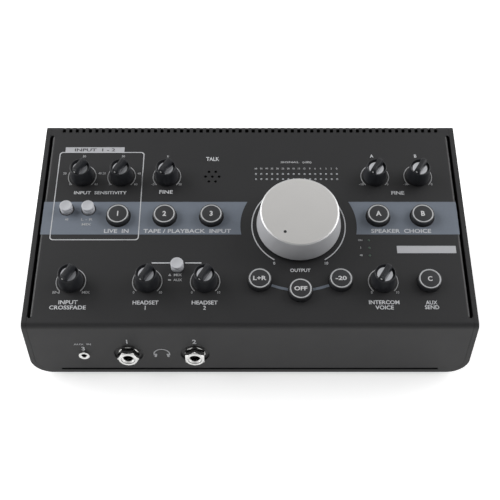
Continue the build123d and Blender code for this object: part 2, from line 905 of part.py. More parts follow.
inlet_middle = board_z - floor_z + inlet_width / 2
inlet_front = rear_face.offset(inlet_proud)
with BuildPart() as power_inlet:
    with BuildSketch(inlet_front):
        with Locations((inlet_column, inlet_middle)):
            Rectangle(inlet_width, inlet_width)
    extrude(amount=-inlet_depth)
    with BuildSketch(inlet_front):
        with Locations((inlet_column, inlet_middle)):
            Circle(inlet_bore / 2)
    extrude(amount=-inlet_bore_depth, mode=Mode.SUBTRACT)
    with BuildSketch(inlet_front.offset(-inlet_bore_depth)):
        with Locations((inlet_column, inlet_middle)):
            Circle(inlet_pin / 2)
    extrude(amount=inlet_bore_depth - inlet_pin_back)
save(power_inlet, "power_inlet")

# ------------------------------------------------------------------ power rocker
rocker_pivot = Plane(
    origin=(-rocker_column, rear_plate_y + rocker_bezel - rocker_face / 2, floor_z + rocker_height),
    x_dir=(0, 1, 0),
    z_dir=(1, 0, 0),
)
with BuildPart() as power_switch:
    with BuildSketch(rear_face):
        with Locations((rocker_column, rocker_height)):
            Rectangle(rocker_bezel_width, rocker_bezel_height)
    extrude(amount=rocker_bezel)
    chamfer(power_switch.faces().sort_by(Axis.Y)[-1].edges(), rocker_bezel_edge)
    with BuildSketch(rear_face):
        with Locations((rocker_column, rocker_height)):
            Rectangle(rocker_body_width, rocker_body_height)
    extrude(amount=-rocker_body_depth)
    with BuildSketch(rear_face.offset(rocker_bezel)):
        with Locations((rocker_column, rocker_height)):
            Rectangle(
                rocker_width + 2 * rocker_clearance, 2 * (rocker_radius + rocker_clearance)
            )
    extrude(amount=-(rocker_bezel + rocker_pocket), mode=Mode.SUBTRACT)
    with BuildSketch(rocker_pivot):
        Circle(trunnion_diameter / 2 + shaft_clearance)
    extrude(
        amount=rocker_width / 2 + rocker_clearance + trunnion_reach + seam,
        both=True,
        mode=Mode.SUBTRACT,
    )
save(power_switch, "power_switch")

# The rocker: two flats that meet over the pivot, at rest tipped to one stop
with BuildPart() as power_rocker:
    with BuildSketch(rocker_pivot.rotated((-rocker_throw / 2, 0, 0))):
        Circle(rocker_radius)
        for side in (-1, 1):
            with Locations(Location((0, 0), side * rocker_throw / 2)):
                with Locations((rocker_face, 0)):
                    Rectangle(
                        2 * rocker_radius,
                        4 * rocker_radius,
                        align=(Align.MIN, Align.CENTER),
                        mode=Mode.SUBTRACT,
                    )
        with Locations((-rocker_back, 0)):
            Rectangle(
                2 * rocker_radius, 4 * rocker_radius, align=(Align.MAX, Align.CENTER), mode=Mode.SUBTRACT
            )
    extrude(amount=rocker_width / 2, both=True)
    with BuildSketch(rocker_pivot):
        Circle(trunnion_diameter / 2)
    extrude(amount=rocker_width / 2 + rocker_clearance + trunnion_reach, both=True)
save(power_rocker, "power_rocker")

# ------------------------------------------------------------------ parts on the control board
with BuildPart() as pot_bodies:
    with BuildSketch(control_board_top):
        with Locations(*rotary_spots):
            Rectangle(pot_width, pot_length)
        with Locations(volume_spot):
            Rectangle(volume_pot_side, volume_pot_side)
    extrude(amount=pot_height)
    with BuildSketch(control_board_top.offset(pot_height)):
        with Locations(*rotary_spots, volume_spot):
            Circle(pot_collar_diameter / 2)
    extrude(amount=pot_collar_height)
    with BuildSketch(control_board_top.offset(pot_height + pot_collar_height)):
        with Locations(*rotary_spots, volume_spot):
            Circle(shaft_diameter / 2 + shaft_clearance)
    extrude(amount=-shaft_below, mode=Mode.SUBTRACT)
save(pot_bodies, "pot_bodies")

with BuildPart() as button_switches:
    with BuildSketch(control_board_top):
        with Locations(*button_spots):
            Rectangle(switch_side, switch_side)
    extrude(amount=switch_height)
    with BuildSketch(control_board_top.offset(switch_height)):
        with Locations(*button_spots):
            Circle(switch_well / 2)
    extrude(amount=-(stem_entry + button_travel + switch_well_spare), mode=Mode.SUBTRACT)
save(button_switches, "button_switches")

latch_height = control_board_drop - sheet - push_travel - button_lip_gap
with BuildPart() as latch_switches:
    with BuildSketch(control_board_top):
        with Locations(*push_spots):
            Rectangle(latch_side, latch_side)
    extrude(amount=latch_height)
    with BuildSketch(control_board_top.offset(latch_height)):
        with Locations(*push_spots):
            Rectangle(latch_well, latch_well)
    extrude(amount=-(latch_height - board), mode=Mode.SUBTRACT)
save(latch_switches, "latch_switches")

lamp_top = panel.offset(-lamp_inset)
with BuildPart() as meter_lamps:
    with BuildSketch(lamp_top):
        with Locations(meter_middle):
            with GridLocations(meter_pitch, meter_row_gap, meter_columns, 2):
                Circle(lamp_diameter / 2)
    extrude(amount=-lamp_body)
    # moulded holder behind the panel that carries both rows
    with BuildSketch(lamp_top.offset(-lamp_body)):
        with Locations(meter_middle):
            Rectangle(meter_pitch * meter_columns, 2 * meter_row_gap)
    extrude(amount=-(control_board_drop - lamp_inset - lamp_body))
save(meter_lamps, "meter_lamps")

with BuildPart() as status_lamps:
    with BuildSketch(lamp_top):
        with Locations(status_spot):
            with GridLocations(0, status_gap, 1, 3):
                Circle(lamp_diameter / 2)
    extrude(amount=-(control_board_drop - lamp_inset))
save(status_lamps, "status_lamps")

with BuildPart() as talkback_microphone:
    with BuildSketch(panel.offset(-(control_board_drop - mic_height))):
        with Locations(mic_spot):
            Circle(mic_diameter / 2)
    extrude(amount=-mic_height)
    fillet(talkback_microphone.faces().sort_by(Axis.Z)[-1].edges(), mic_edge)
save(talkback_microphone, "talkback_microphone")

# ------------------------------------------------------------------ ribbon cable and headers
upper_header = Plane(
    origin=control_board_top.from_local_coords((*placed(ribbon_x, ribbon_board_s), -board)),
    x_dir=(1, 0, 0),
    z_dir=-panel.z_dir,
)
upper_end = upper_header.from_local_coords((0, 0, header_height))
ribbon_turn = upper_header.from_local_coords((0, 0, header_height + ribbon_lead))
lower_y = upper_end.Y
lower_end = Vector(upper_end.X, lower_y, board_z + header_height)
with BuildPart() as ribbon_headers:
    with BuildSketch(upper_header):
        Rectangle(header_length, header_width)
    extrude(amount=header_height)
    with BuildSketch(Plane.XY.offset(board_z)):
        with Locations((lower_end.X, lower_y)):
            Rectangle(header_length, header_width)
    extrude(amount=header_height)
save(ribbon_headers, "ribbon_headers")

ribbon_middle = (ribbon_turn.Z + lower_end.Z + ribbon_lead) / 2
with BuildPart() as ribbon_cable:
    with BuildSketch(Plane(origin=(lower_end.X, 0, 0), x_dir=(0, 1, 0), z_dir=(1, 0, 0))):
        with BuildLine():
            FilletPolyline(
                (upper_end.Y, upper_end.Z),
                (ribbon_turn.Y, ribbon_turn.Z),
                (ribbon_turn.Y + ribbon_slack, ribbon_middle),
                (lower_y, lower_end.Z + ribbon_lead / 2),
                (lower_y, lower_end.Z),
                radius=ribbon_lead / 4,
            )
            offset(amount=ribbon_thickness, side=Side.LEFT)
        make_face()
    extrude(amount=ribbon_width / 2, both=True)
save(ribbon_cable, "ribbon_cable")


# ------------------------------------------------------------------ knobs
def d_section(place):
    """D-shaped section of a control shaft, its flat on the pointer's side."""
    with BuildSketch(place) as section:
        Circle(shaft_diameter / 2)
        with Locations((0, -shaft_diameter / 2)):
            Rectangle(
                shaft_diameter, shaft_flat, align=(Align.CENTER, Align.MIN), mode=Mode.SUBTRACT
            )
    return section.sketch


def control_shaft(place, above):
    """Shaft of a rotary control: round in its body and through the panel, a D inside the knob."""
    with BuildPart() as shaft:
        with BuildSketch(place.offset(-shaft_seat)):
            Circle(shaft_diameter / 2)
        extrude(amount=shaft_seat + cap_gap)
        extrude(d_section(place.offset(cap_gap)), amount=above - cap_gap)
    return shaft


def small_knob(place):
    """Pointer knob: a tapered cap with a grip across its shoulder and a pocket at each side."""
    with BuildPart() as knob:
        with BuildSketch(section_of(place)):
            with BuildLine():
                Polyline(
                    (0, cap_gap),
                    (cap_base_diameter / 2, cap_gap),
                    (cap_base_diameter / 2, cap_gap + cap_rim),
                    (cap_neck_diameter / 2, cap_neck_height),
                    (cap_top_diameter / 2, cap_height),
                    (0, cap_height),
                    close=True,
                )
            make_face()
        revolve(axis=axis_of(place))
        # the grip: all that is beside it goes, down to the shoulder
        with BuildSketch(section_of(place)):
            with BuildLine():
                Polyline(
                    (grip_width / 2, cap_height),
                    (grip_foot_width / 2, cap_shoulder),
                    (cap_base_diameter / 2, cap_shoulder),
                    (cap_base_diameter / 2, cap_height),
                    close=True,
                )
            make_face()
            mirror(about=Plane.YZ)
        extrude(amount=cap_base_diameter / 2, both=True, mode=Mode.SUBTRACT)
        with BuildSketch(place.offset(cap_shoulder)):
            Circle(scoop_diameter / 2)
            Rectangle(grip_foot_width, scoop_diameter, mode=Mode.SUBTRACT)
        extrude(amount=-scoop_depth, mode=Mode.SUBTRACT)
        # hollow between the skirt and the hub, and the D hole for the shaft
        with BuildSketch(section_of(place)):
            with BuildLine():
                Polyline(
                    (cap_hub_diameter / 2, cap_gap),
                    (cap_base_diameter / 2 - cap_wall, cap_gap),
                    (cap_neck_diameter / 2 - cap_wall, cap_gap + cap_cavity),
                    (cap_hub_diameter / 2, cap_gap + cap_cavity),
                    close=True,
                )
            make_face()
        revolve(axis=axis_of(place), mode=Mode.SUBTRACT)
        extrude(
            d_section(place.offset(cap_gap)), amount=shaft_above - cap_gap, mode=Mode.SUBTRACT
        )
    return knob


for name, (x, s) in rotary_controls.items():
    place = spot(x, s, -rest_angle)
    knob_cap = small_knob(place)
    knob_shaft = control_shaft(place, shaft_above)
    knob_cap.part.label = f"{name}_cap"
    knob_shaft.part.label = f"{name}_shaft"
    knob_pair = Compound(label=f"knob_{name}", children=[knob_cap.part, knob_shaft.part])
    export_step(knob_pair, f"parts/knob_{name}.step")

# Volume knob: a turned metal shell over a moulded insert that grips the shaft
volume_place = spot(*volume_spot, -rest_angle_volume)
volume_ceiling = volume_gap + volume_cavity
volume_radius = volume_diameter / 2
cavity_radius = volume_radius - volume_wall
dimple_centre = volume_place.from_local_coords((0, -volume_dimple_radius, 0))
with BuildPart() as volume_knob:
    with BuildSketch(section_of(volume_place)):
        with BuildLine():
            Polyline(
                (0, volume_ceiling),
                (cavity_radius, volume_ceiling),
                (cavity_radius, volume_gap),
                (volume_radius, volume_gap),
                (volume_radius - volume_taper, volume_height - volume_bevel),
                (volume_radius - volume_taper - volume_bevel_width, volume_height),
                (0, volume_height),
                close=True,
            )
        make_face()
    revolve(axis=axis_of(volume_place))
    with Locations(
        Plane(origin=dimple_centre, x_dir=(1, 0, 0), z_dir=volume_place.z_dir).offset(volume_height)
    ):
        Cone(
            volume_dimple - volume_dimple_depth,
            volume_dimple,
            volume_dimple_depth,
            align=(Align.CENTER, Align.CENTER, Align.MAX),
            mode=Mode.SUBTRACT,
        )
save(volume_knob, "volume_knob")

insert_foot = volume_gap + volume_insert_inset
with BuildPart() as volume_insert:
    with BuildSketch(volume_place.offset(volume_ceiling)):
        Circle(cavity_radius)
    extrude(amount=-volume_web)
    with BuildSketch(volume_place.offset(insert_foot)):
        Circle(cavity_radius)
        Circle(cavity_radius - volume_rib, mode=Mode.SUBTRACT)
        with PolarLocations(cavity_radius / 2, volume_rib_count):
            Rectangle(cavity_radius - volume_rib, volume_rib)
        Circle(volume_hub_diameter / 2)
    extrude(amount=volume_ceiling - volume_web - insert_foot)
    extrude(
        d_section(volume_place.offset(insert_foot)),
        amount=volume_shaft_above - insert_foot,
        mode=Mode.SUBTRACT,
    )
save(volume_insert, "volume_insert")

volume_shaft = control_shaft(volume_place, volume_shaft_above)
save(volume_shaft, "volume_shaft")

# ------------------------------------------------------------------ buttons
lip_top = -(sheet + button_lip_gap)
lip_bottom = lip_top - button_lip_thickness
lip_diameter = button_diameter + 2 * (button_clearance + button_lip)
ceiling = button_height - button_top
stem_foot = -(control_board_drop - switch_height) - stem_entry
ring_inner = ring_outer - 2 * ring_width


def lit_cap(place):
    """Lit button's cap: a cup with a retaining lip, a centre stem and a groove for its ring."""
    with BuildPart() as cap:
        with BuildSketch(section_of(place)):
            with BuildLine():
                Polyline(
                    (0, button_height),
                    (button_diameter / 2 - button_edge, button_height),
                    (button_diameter / 2, button_height - button_edge),
                    (button_diameter / 2, lip_top),
                    (lip_diameter / 2, lip_top),
                    (lip_diameter / 2, lip_bottom),
                    (button_diameter / 2 - button_wall, lip_bottom),
                    (button_diameter / 2 - button_wall, ceiling),
                    (button_stem / 2, ceiling),
                    (button_stem / 2, stem_foot),
                    (0, stem_foot),
                    close=True,
                )
            make_face()
            with Locations((ring_outer / 2, button_height)):
                Rectangle(ring_width, ring_depth, align=Align.MAX, mode=Mode.SUBTRACT)
        revolve(axis=axis_of(place))
    return cap


def lit_ring(place):
    """Translucent ring seated in a lit button's groove."""
    with BuildPart() as ring:
        with BuildSketch(place.offset(button_height - ring_depth)):
            Circle(ring_outer / 2)
            Circle(ring_inner / 2, mode=Mode.SUBTRACT)
        extrude(amount=ring_depth + ring_proud)
    return ring


for name, (x, s) in lit_buttons.items():
    place = spot(x, s)
    save(lit_cap(place), f"button_{name}")
    save(lit_ring(place), f"light_ring_{name}")

# Push buttons: a dished head on a neck, with a square stem that enters the latching switch
collar_foot = -sheet
latch_top = latch_height - control_board_drop
for name, (x, s) in push_buttons.items():
    place = spot(x, s)
    with BuildPart() as push_cap:
        with BuildSketch(section_of(place)):
            with BuildLine():
                dish = TangentArc(
                    (0, push_height - push_dish),
                    (push_diameter / 2 - push_edge, push_height),
                    tangent=(1, 0),
                )
                Polyline(
                    dish @ 1,
                    (push_diameter / 2, push_height - push_edge),
                    (push_diameter / 2, push_height - push_head),
                    (push_neck_diameter / 2, push_height - push_head),
                    (push_neck_diameter / 2, push_height - push_head - push_neck),
                    (push_diameter / 2, push_height - push_head - push_neck),
                    (push_diameter / 2, collar_foot),
                    (0, collar_foot),
                    dish @ 0,
                )
            make_face()
        revolve(axis=axis_of(place))
        with BuildSketch(place.offset(collar_foot)):
            Rectangle(push_stem, push_stem)
        extrude(amount=latch_top - stem_entry - collar_foot)
    save(push_cap, f"push_{name}")
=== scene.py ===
"""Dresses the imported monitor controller: its finishes, printed legends and fine parts.

Shapes are drawn in millimetres about their own place, and each place turns them into
metres in the row frame: +X to the user's right, +Y to the rear, +Z up, with the object
standing on the floor at z = 0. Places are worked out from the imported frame.
"""

from __future__ import annotations

import json
import logging
import math
from collections.abc import Iterable, Iterator, Sequence
from contextlib import contextmanager
from dataclasses import dataclass, field, replace
from enum import Enum
from functools import cache

import bmesh
import bpy
from bpy.types import ID, Curve, Material, Mesh, Node, NodeSocket, NodeTree, Object
from mathutils import Matrix, Vector

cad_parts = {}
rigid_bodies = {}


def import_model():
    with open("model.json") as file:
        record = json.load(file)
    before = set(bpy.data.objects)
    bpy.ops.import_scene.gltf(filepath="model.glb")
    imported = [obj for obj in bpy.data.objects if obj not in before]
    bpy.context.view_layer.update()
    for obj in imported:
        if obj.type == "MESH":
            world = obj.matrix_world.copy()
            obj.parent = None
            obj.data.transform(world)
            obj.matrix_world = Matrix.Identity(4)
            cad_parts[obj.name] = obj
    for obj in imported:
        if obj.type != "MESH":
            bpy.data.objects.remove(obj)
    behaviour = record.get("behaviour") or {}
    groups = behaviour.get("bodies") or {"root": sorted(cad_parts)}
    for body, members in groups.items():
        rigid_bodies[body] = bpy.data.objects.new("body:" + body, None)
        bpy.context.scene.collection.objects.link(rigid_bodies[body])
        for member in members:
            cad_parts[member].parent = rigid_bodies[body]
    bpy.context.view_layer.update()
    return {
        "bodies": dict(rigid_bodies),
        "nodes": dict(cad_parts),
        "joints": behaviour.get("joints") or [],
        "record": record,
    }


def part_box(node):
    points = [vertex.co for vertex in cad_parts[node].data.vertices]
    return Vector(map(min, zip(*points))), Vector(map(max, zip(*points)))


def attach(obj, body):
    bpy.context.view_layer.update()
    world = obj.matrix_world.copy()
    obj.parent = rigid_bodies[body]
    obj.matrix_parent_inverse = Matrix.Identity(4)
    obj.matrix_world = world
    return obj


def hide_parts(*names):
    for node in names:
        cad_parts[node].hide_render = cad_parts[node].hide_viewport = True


LOG = logging.getLogger("monitor_controller")
MM = 0.001
FULL_TURN = 2 * math.pi
HALF_TURN_DEG = 180.0
WELD = 1e-4
INK_LIFT = 0.03
ARC_STEP_DEG = 3.0
ACROSS, BACK, ABOVE = Vector((1.0, 0.0, 0.0)), Vector((0.0, 1.0, 0.0)), Vector((0.0, 0.0, 1.0))
WHITE = (1.0, 1.0, 1.0, 1.0)
Point = tuple[float, float]
Corner = tuple[float, ...]
Box = tuple[float, float, float, float]
Colour = tuple[float, float, float]
NodeRow = bpy.types.bpy_prop_collection
FLOAT, VECTOR, GEOMETRY = "NodeSocketFloat", "NodeSocketVector", "NodeSocketGeometry"
INTEGER, MATERIAL = "NodeSocketInt", "NodeSocketMaterial"


# ---------------------------------------------------------------- node trees
class Sheet:
    """Adds, sets and links the nodes of one tree."""

    def __init__(self, tree: NodeTree) -> None:
        """Keeps the tree that the nodes go into."""
        self.tree = tree

    def add(self, kind: str, values: dict | None = None, **settings: object) -> Node:
        """Adds one node.

        Args:
            kind: the node's type name.
            values: input socket name or number to its value.
            settings: the node's own properties.

        Returns:
            The new node.
        """
        node = self.tree.nodes.new(kind)
        for key, value in settings.items():
            setattr(node, key, value)
        for key, value in (values or {}).items():
            node.inputs[key].default_value = value
        return node

    def link(self, start: NodeSocket, *ends: NodeSocket) -> None:
        """Links an output to one or more inputs."""
        for end in ends:
            self.tree.links.new(start, end)

    def math(self, operation: str, *terms: object) -> NodeSocket:
        """Adds a Math node.

        Args:
            operation: the node's operation.
            terms: numbers, or output sockets to link.

        Returns:
            The node's output.
        """
        node = self.add("ShaderNodeMath", operation=operation)
        for place, term in enumerate(terms):
            if isinstance(term, NodeSocket):
                self.link(term, node.inputs[place])
            else:
                node.inputs[place].default_value = term
        return node.outputs[0]

    def drift(self, noise: NodeSocket, spread: NodeSocket, middle: object) -> NodeSocket:
        """Value that drifts about a middle as a noise drifts about one half."""
        return self.math("MULTIPLY_ADD", self.math("SUBTRACT", noise, 0.5), spread, middle)

    def parts(self, vector: NodeSocket) -> NodeRow:
        """Splits a vector.

        Args:
            vector: the vector's output.

        Returns:
            The outputs of its X, Y and Z.
        """
        node = self.add("ShaderNodeSeparateXYZ")
        self.link(vector, node.inputs[0])
        return node.outputs

    def bump(self, height: NodeSocket, strength: float, depth: float, normal: NodeSocket) -> None:
        """Turns a height into a shader's normal.

        Args:
            height: the height's output.
            strength: how much of the relief shows.
            depth: the relief, in metres.
            normal: the shader's input.
        """
        node = self.add("ShaderNodeBump", {"Strength": strength, "Distance": depth})
        self.link(height, node.inputs["Height"])
        self.link(node.outputs["Normal"], normal)


def new_group(
    name: str, kind: str, inputs: dict[str, tuple[str, object]], outputs: dict[str, str]
) -> tuple[Sheet, NodeRow, NodeRow]:
    """Starts a node group with named sockets.

    Args:
        name: the group's name.
        kind: ShaderNodeTree or GeometryNodeTree.
        inputs: socket name to its type and default value.
        outputs: socket name to its type.

    Returns:
        The group's sheet, what it is given and where its results go.
    """
    tree = bpy.data.node_groups.new(name, kind)
    for label, (socket_type, value) in inputs.items():
        socket = tree.interface.new_socket(label, in_out="INPUT", socket_type=socket_type)
        if value is not None:
            socket.default_value = value
    for label, socket_type in outputs.items():
        tree.interface.new_socket(label, in_out="OUTPUT", socket_type=socket_type)
    sheet = Sheet(tree)
    return sheet, sheet.add("NodeGroupInput").outputs, sheet.add("NodeGroupOutput").inputs


@cache
def grain_group() -> NodeTree:
    """Shader group of a fine moulded or sprayed grain: its height and its tone.

    Returns:
        The group, which is made once.
    """
    sheet, given, result = new_group(
        "fine_grain",
        "ShaderNodeTree",
        {"Coordinates": (VECTOR, None), "Scale": (FLOAT, 2000.0), "Contrast": (FLOAT, 0.1)},
        {"Height": FLOAT, "Tone": FLOAT},
    )
    broad_scale, broad_weight = 0.21, 0.6
    fine = sheet.add("ShaderNodeTexNoise", {"Detail": 3.0, "Roughness": 0.6})
    broad = sheet.add("ShaderNodeTexNoise", {"Detail": 2.0, "Roughness": 0.5})
    sheet.link(given["Coordinates"], fine.inputs["Vector"], broad.inputs["Vector"])
    sheet.link(given["Scale"], fine.inputs["Scale"])
    sheet.link(sheet.math("MULTIPLY", given["Scale"], broad_scale), broad.inputs["Scale"])
    blend = sheet.math("MULTIPLY_ADD", broad.outputs[0], broad_weight, fine.outputs[0])
    sheet.link(blend, result["Height"])
    sheet.link(sheet.drift(broad.outputs[0], given["Contrast"], 1.0), result["Tone"])
    return sheet.tree


@cache
def handling_group() -> NodeTree:
    """Shader group of faint handling marks: a roughness that drifts over the surface.

    Returns:
        The group, which is made once.
    """
    sheet, given, result = new_group(
        "handling_marks",
        "ShaderNodeTree",
        {"Coordinates": (VECTOR, None), "Roughness": (FLOAT, 0.5), "Spread": (FLOAT, 0.1)},
        {"Roughness": FLOAT},
    )
    cloud = sheet.add("ShaderNodeTexNoise", {"Scale": 55.0, "Detail": 5.0, "Roughness": 0.62})
    sheet.link(given["Coordinates"], cloud.inputs["Vector"])
    roughness = sheet.drift(cloud.outputs[0], given["Spread"], given["Roughness"])
    sheet.link(roughness, result["Roughness"])
    return sheet.tree


@cache
def turned_lines_group() -> NodeTree:
    """Shader group of lathe lines round the Z axis of its coordinates.

    Returns:
        The group, which is made once.
    """
    sheet, given, result = new_group(
        "turned_lines",
        "ShaderNodeTree",
        {"Coordinates": (VECTOR, None), "Pitch": (FLOAT, 0.0002), "Contrast": (FLOAT, 0.2)},
        {"Height": FLOAT, "Tone": FLOAT},
    )
    x, y, z = sheet.parts(given["Coordinates"])
    squared = sheet.math("MULTIPLY_ADD", y, y, sheet.math("MULTIPLY", x, x))
    along = sheet.math("ADD", sheet.math("SQRT", squared), z)
    lines = sheet.add("ShaderNodeTexNoise", {"Scale": 1.0, "Detail": 3.0}, noise_dimensions="1D")
    sheet.link(sheet.math("DIVIDE", along, given["Pitch"]), lines.inputs["W"])
    sheet.link(lines.outputs[0], result["Height"])
    sheet.link(sheet.drift(lines.outputs[0], given["Contrast"], 1.0), result["Tone"])
    return sheet.tree


# ---------------------------------------------------------------- finishes
def start_material(name: str) -> tuple[Material, Sheet, NodeRow, NodeSocket]:
    """Makes a node material with one Principled shader.

    Args:
        name: the material's name.

    Returns:
        The material, its sheet, its shader's inputs and its Object coordinates.
    """
    material = bpy.data.materials.new(name)
    material.use_nodes = True
    sheet = Sheet(material.node_tree)
    place = sheet.add("ShaderNodeTexCoord").outputs["Object"]
    return material, sheet, material.node_tree.nodes["Principled BSDF"].inputs, place


def tint(sheet: Sheet, colour: Colour, tone: NodeSocket) -> NodeSocket:
    """Multiplies a colour by a tone that changes over the surface.

    Args:
        sheet: the material's sheet.
        colour: the finish's linear colour.
        tone: the tone's output, about 1.

    Returns:
        The tinted colour's output.
    """
    node = sheet.add("ShaderNodeVectorMath", {0: colour}, operation="SCALE")
    sheet.link(tone, node.inputs["Scale"])
    return node.outputs[0]


@dataclass(frozen=True)
class Finish:
    """A colour under a fine texture, with handling marks."""

    name: str
    colour: Colour
    roughness: float
    depth: float = 0.01 * MM
    relief: float = 0.6
    spread: float = 0.12
    metallic: float = 0.0

    def lay(self, sheet: Sheet, shader: NodeRow, place: NodeSocket, texture: Node) -> None:
        """Feeds a texture and handling marks to the shader.

        Args:
            sheet: the material's sheet.
            shader: its shader's inputs.
            place: its Object coordinates.
            texture: the group that gives a height and a tone.
        """
        mark_values = {"Roughness": self.roughness, "Spread": self.spread}
        marks = sheet.add("ShaderNodeGroup", mark_values, node_tree=handling_group())
        sheet.link(place, marks.inputs["Coordinates"])
        sheet.link(marks.outputs["Roughness"], shader["Roughness"])
        sheet.bump(texture.outputs["Height"], self.relief, self.depth, shader["Normal"])
        sheet.link(tint(sheet, self.colour, texture.outputs["Tone"]), shader["Base Color"])
        shader["Metallic"].default_value = self.metallic


@dataclass(frozen=True)
class GrainFinish(Finish):
    """Paint, moulding, rubber, plating or ink: a colour over a fine grain."""

    grain: float = 0.4 * MM
    contrast: float = 0.25
    specular: float = 0.5

    def material(self) -> Material:
        """Builds the finish.

        Returns:
            The material.
        """
        material, sheet, shader, place = start_material(self.name)
        values = {"Scale": 1.0 / self.grain, "Contrast": self.contrast}
        grain = sheet.add("ShaderNodeGroup", values, node_tree=grain_group())
        sheet.link(place, grain.inputs["Coordinates"])
        self.lay(sheet, shader, place, grain)
        shader["Specular IOR Level"].default_value = self.specular
        return material


@dataclass(frozen=True)
class TurnedFinish(Finish):
    """Metal turned on a lathe: fine lines round one control's axis."""

    pitch: float = 0.25 * MM
    depth: float = 0.004 * MM
    contrast: float = 0.14
    relief: float = 0.5
    spread: float = 0.08
    metallic: float = 1.0

    def material(self, place: Matrix) -> Material:
        """Builds the finish for one control.

        Args:
            place: the control's place, whose Z axis is the turning axis.

        Returns:
            The material.
        """
        material, sheet, shader, where = start_material(self.name)
        centre = {"Location": place.to_translation(), "Rotation": place.to_euler()}
        centred = sheet.add("ShaderNodeMapping", centre, vector_type="TEXTURE")
        values = {"Pitch": self.pitch, "Contrast": self.contrast}
        lines = sheet.add("ShaderNodeGroup", values, node_tree=turned_lines_group())
        sheet.link(where, centred.inputs["Vector"])
        sheet.link(centred.outputs["Vector"], lines.inputs["Coordinates"])
        self.lay(sheet, shader, where, lines)
        return material


@dataclass(frozen=True)
class BoardFinish:
    """Printed circuit board: solder resist over copper tracks."""

    name: str = "board_resist"
    resist: Colour = (0.012, 0.085, 0.035)
    track: Colour = (0.03, 0.17, 0.07)
    cell: float = 7.0 * MM
    bands: float = 6.0
    gap_share: float = 0.62
    depth: float = 0.03 * MM
    relief: float = 0.4
    roughness: float = 0.35

    def material(self) -> Material:
        """Builds the finish.

        Returns:
            The material.
        """
        material, sheet, shader, place = start_material(self.name)
        tracks = sheet.add(
            "ShaderNodeTexVoronoi", {"Scale": 1.0 / self.cell}, distance="MANHATTAN", feature="F2"
        )
        sheet.link(place, tracks.inputs["Vector"])
        phase = sheet.math("MULTIPLY", tracks.outputs["Distance"], self.bands)
        mask = sheet.math("GREATER_THAN", sheet.math("FRACT", phase), self.gap_share)
        mix = sheet.add("ShaderNodeMix", data_type="RGBA")
        resist, track = (socket for socket in mix.inputs if socket.type == "RGBA")
        resist.default_value = (*self.resist, 1.0)
        track.default_value = (*self.track, 1.0)
        sheet.link(mask, mix.inputs[0])
        colour = next(socket for socket in mix.outputs if socket.type == "RGBA")
        sheet.link(colour, shader["Base Color"])
        sheet.bump(mask, self.relief, self.depth, shader["Normal"])
        shader["Roughness"].default_value = self.roughness
        return material


@dataclass(frozen=True)
class RibbonFinish:
    """Grey ribbon cable: a row of round conductors under one skin, with painted shade in the valleys
    between them and a painted highlight on their crowns.
    """

    name: str = "ribbon_skin"
    colour: Colour = (0.32, 0.32, 0.34)
    pitch: float = 1.27 * MM
    depth: float = 0.3 * MM
    relief: float = 1.0
    valley_tone: float = 0.75
    ridge_tone: float = 0.4
    roughness: float = 0.45

    def material(self) -> Material:
        """Builds the finish.

        Returns:
            The material.
        """
        material, sheet, shader, place = start_material(self.name)
        phase = sheet.math("MULTIPLY", sheet.parts(place)[0], math.pi / self.pitch)
        ridge = sheet.math("ABSOLUTE", sheet.math("SINE", phase))
        sheet.bump(ridge, self.relief, self.depth, shader["Normal"])
        # Painted shade and highlight: the colour is darker in the valleys between the conductors and
        # lighter on their crowns.
        tone = sheet.math("MULTIPLY_ADD", ridge, self.ridge_tone, self.valley_tone)
        sheet.link(tint(sheet, self.colour, tone), shader["Base Color"])
        shader["Roughness"].default_value = self.roughness
        return material


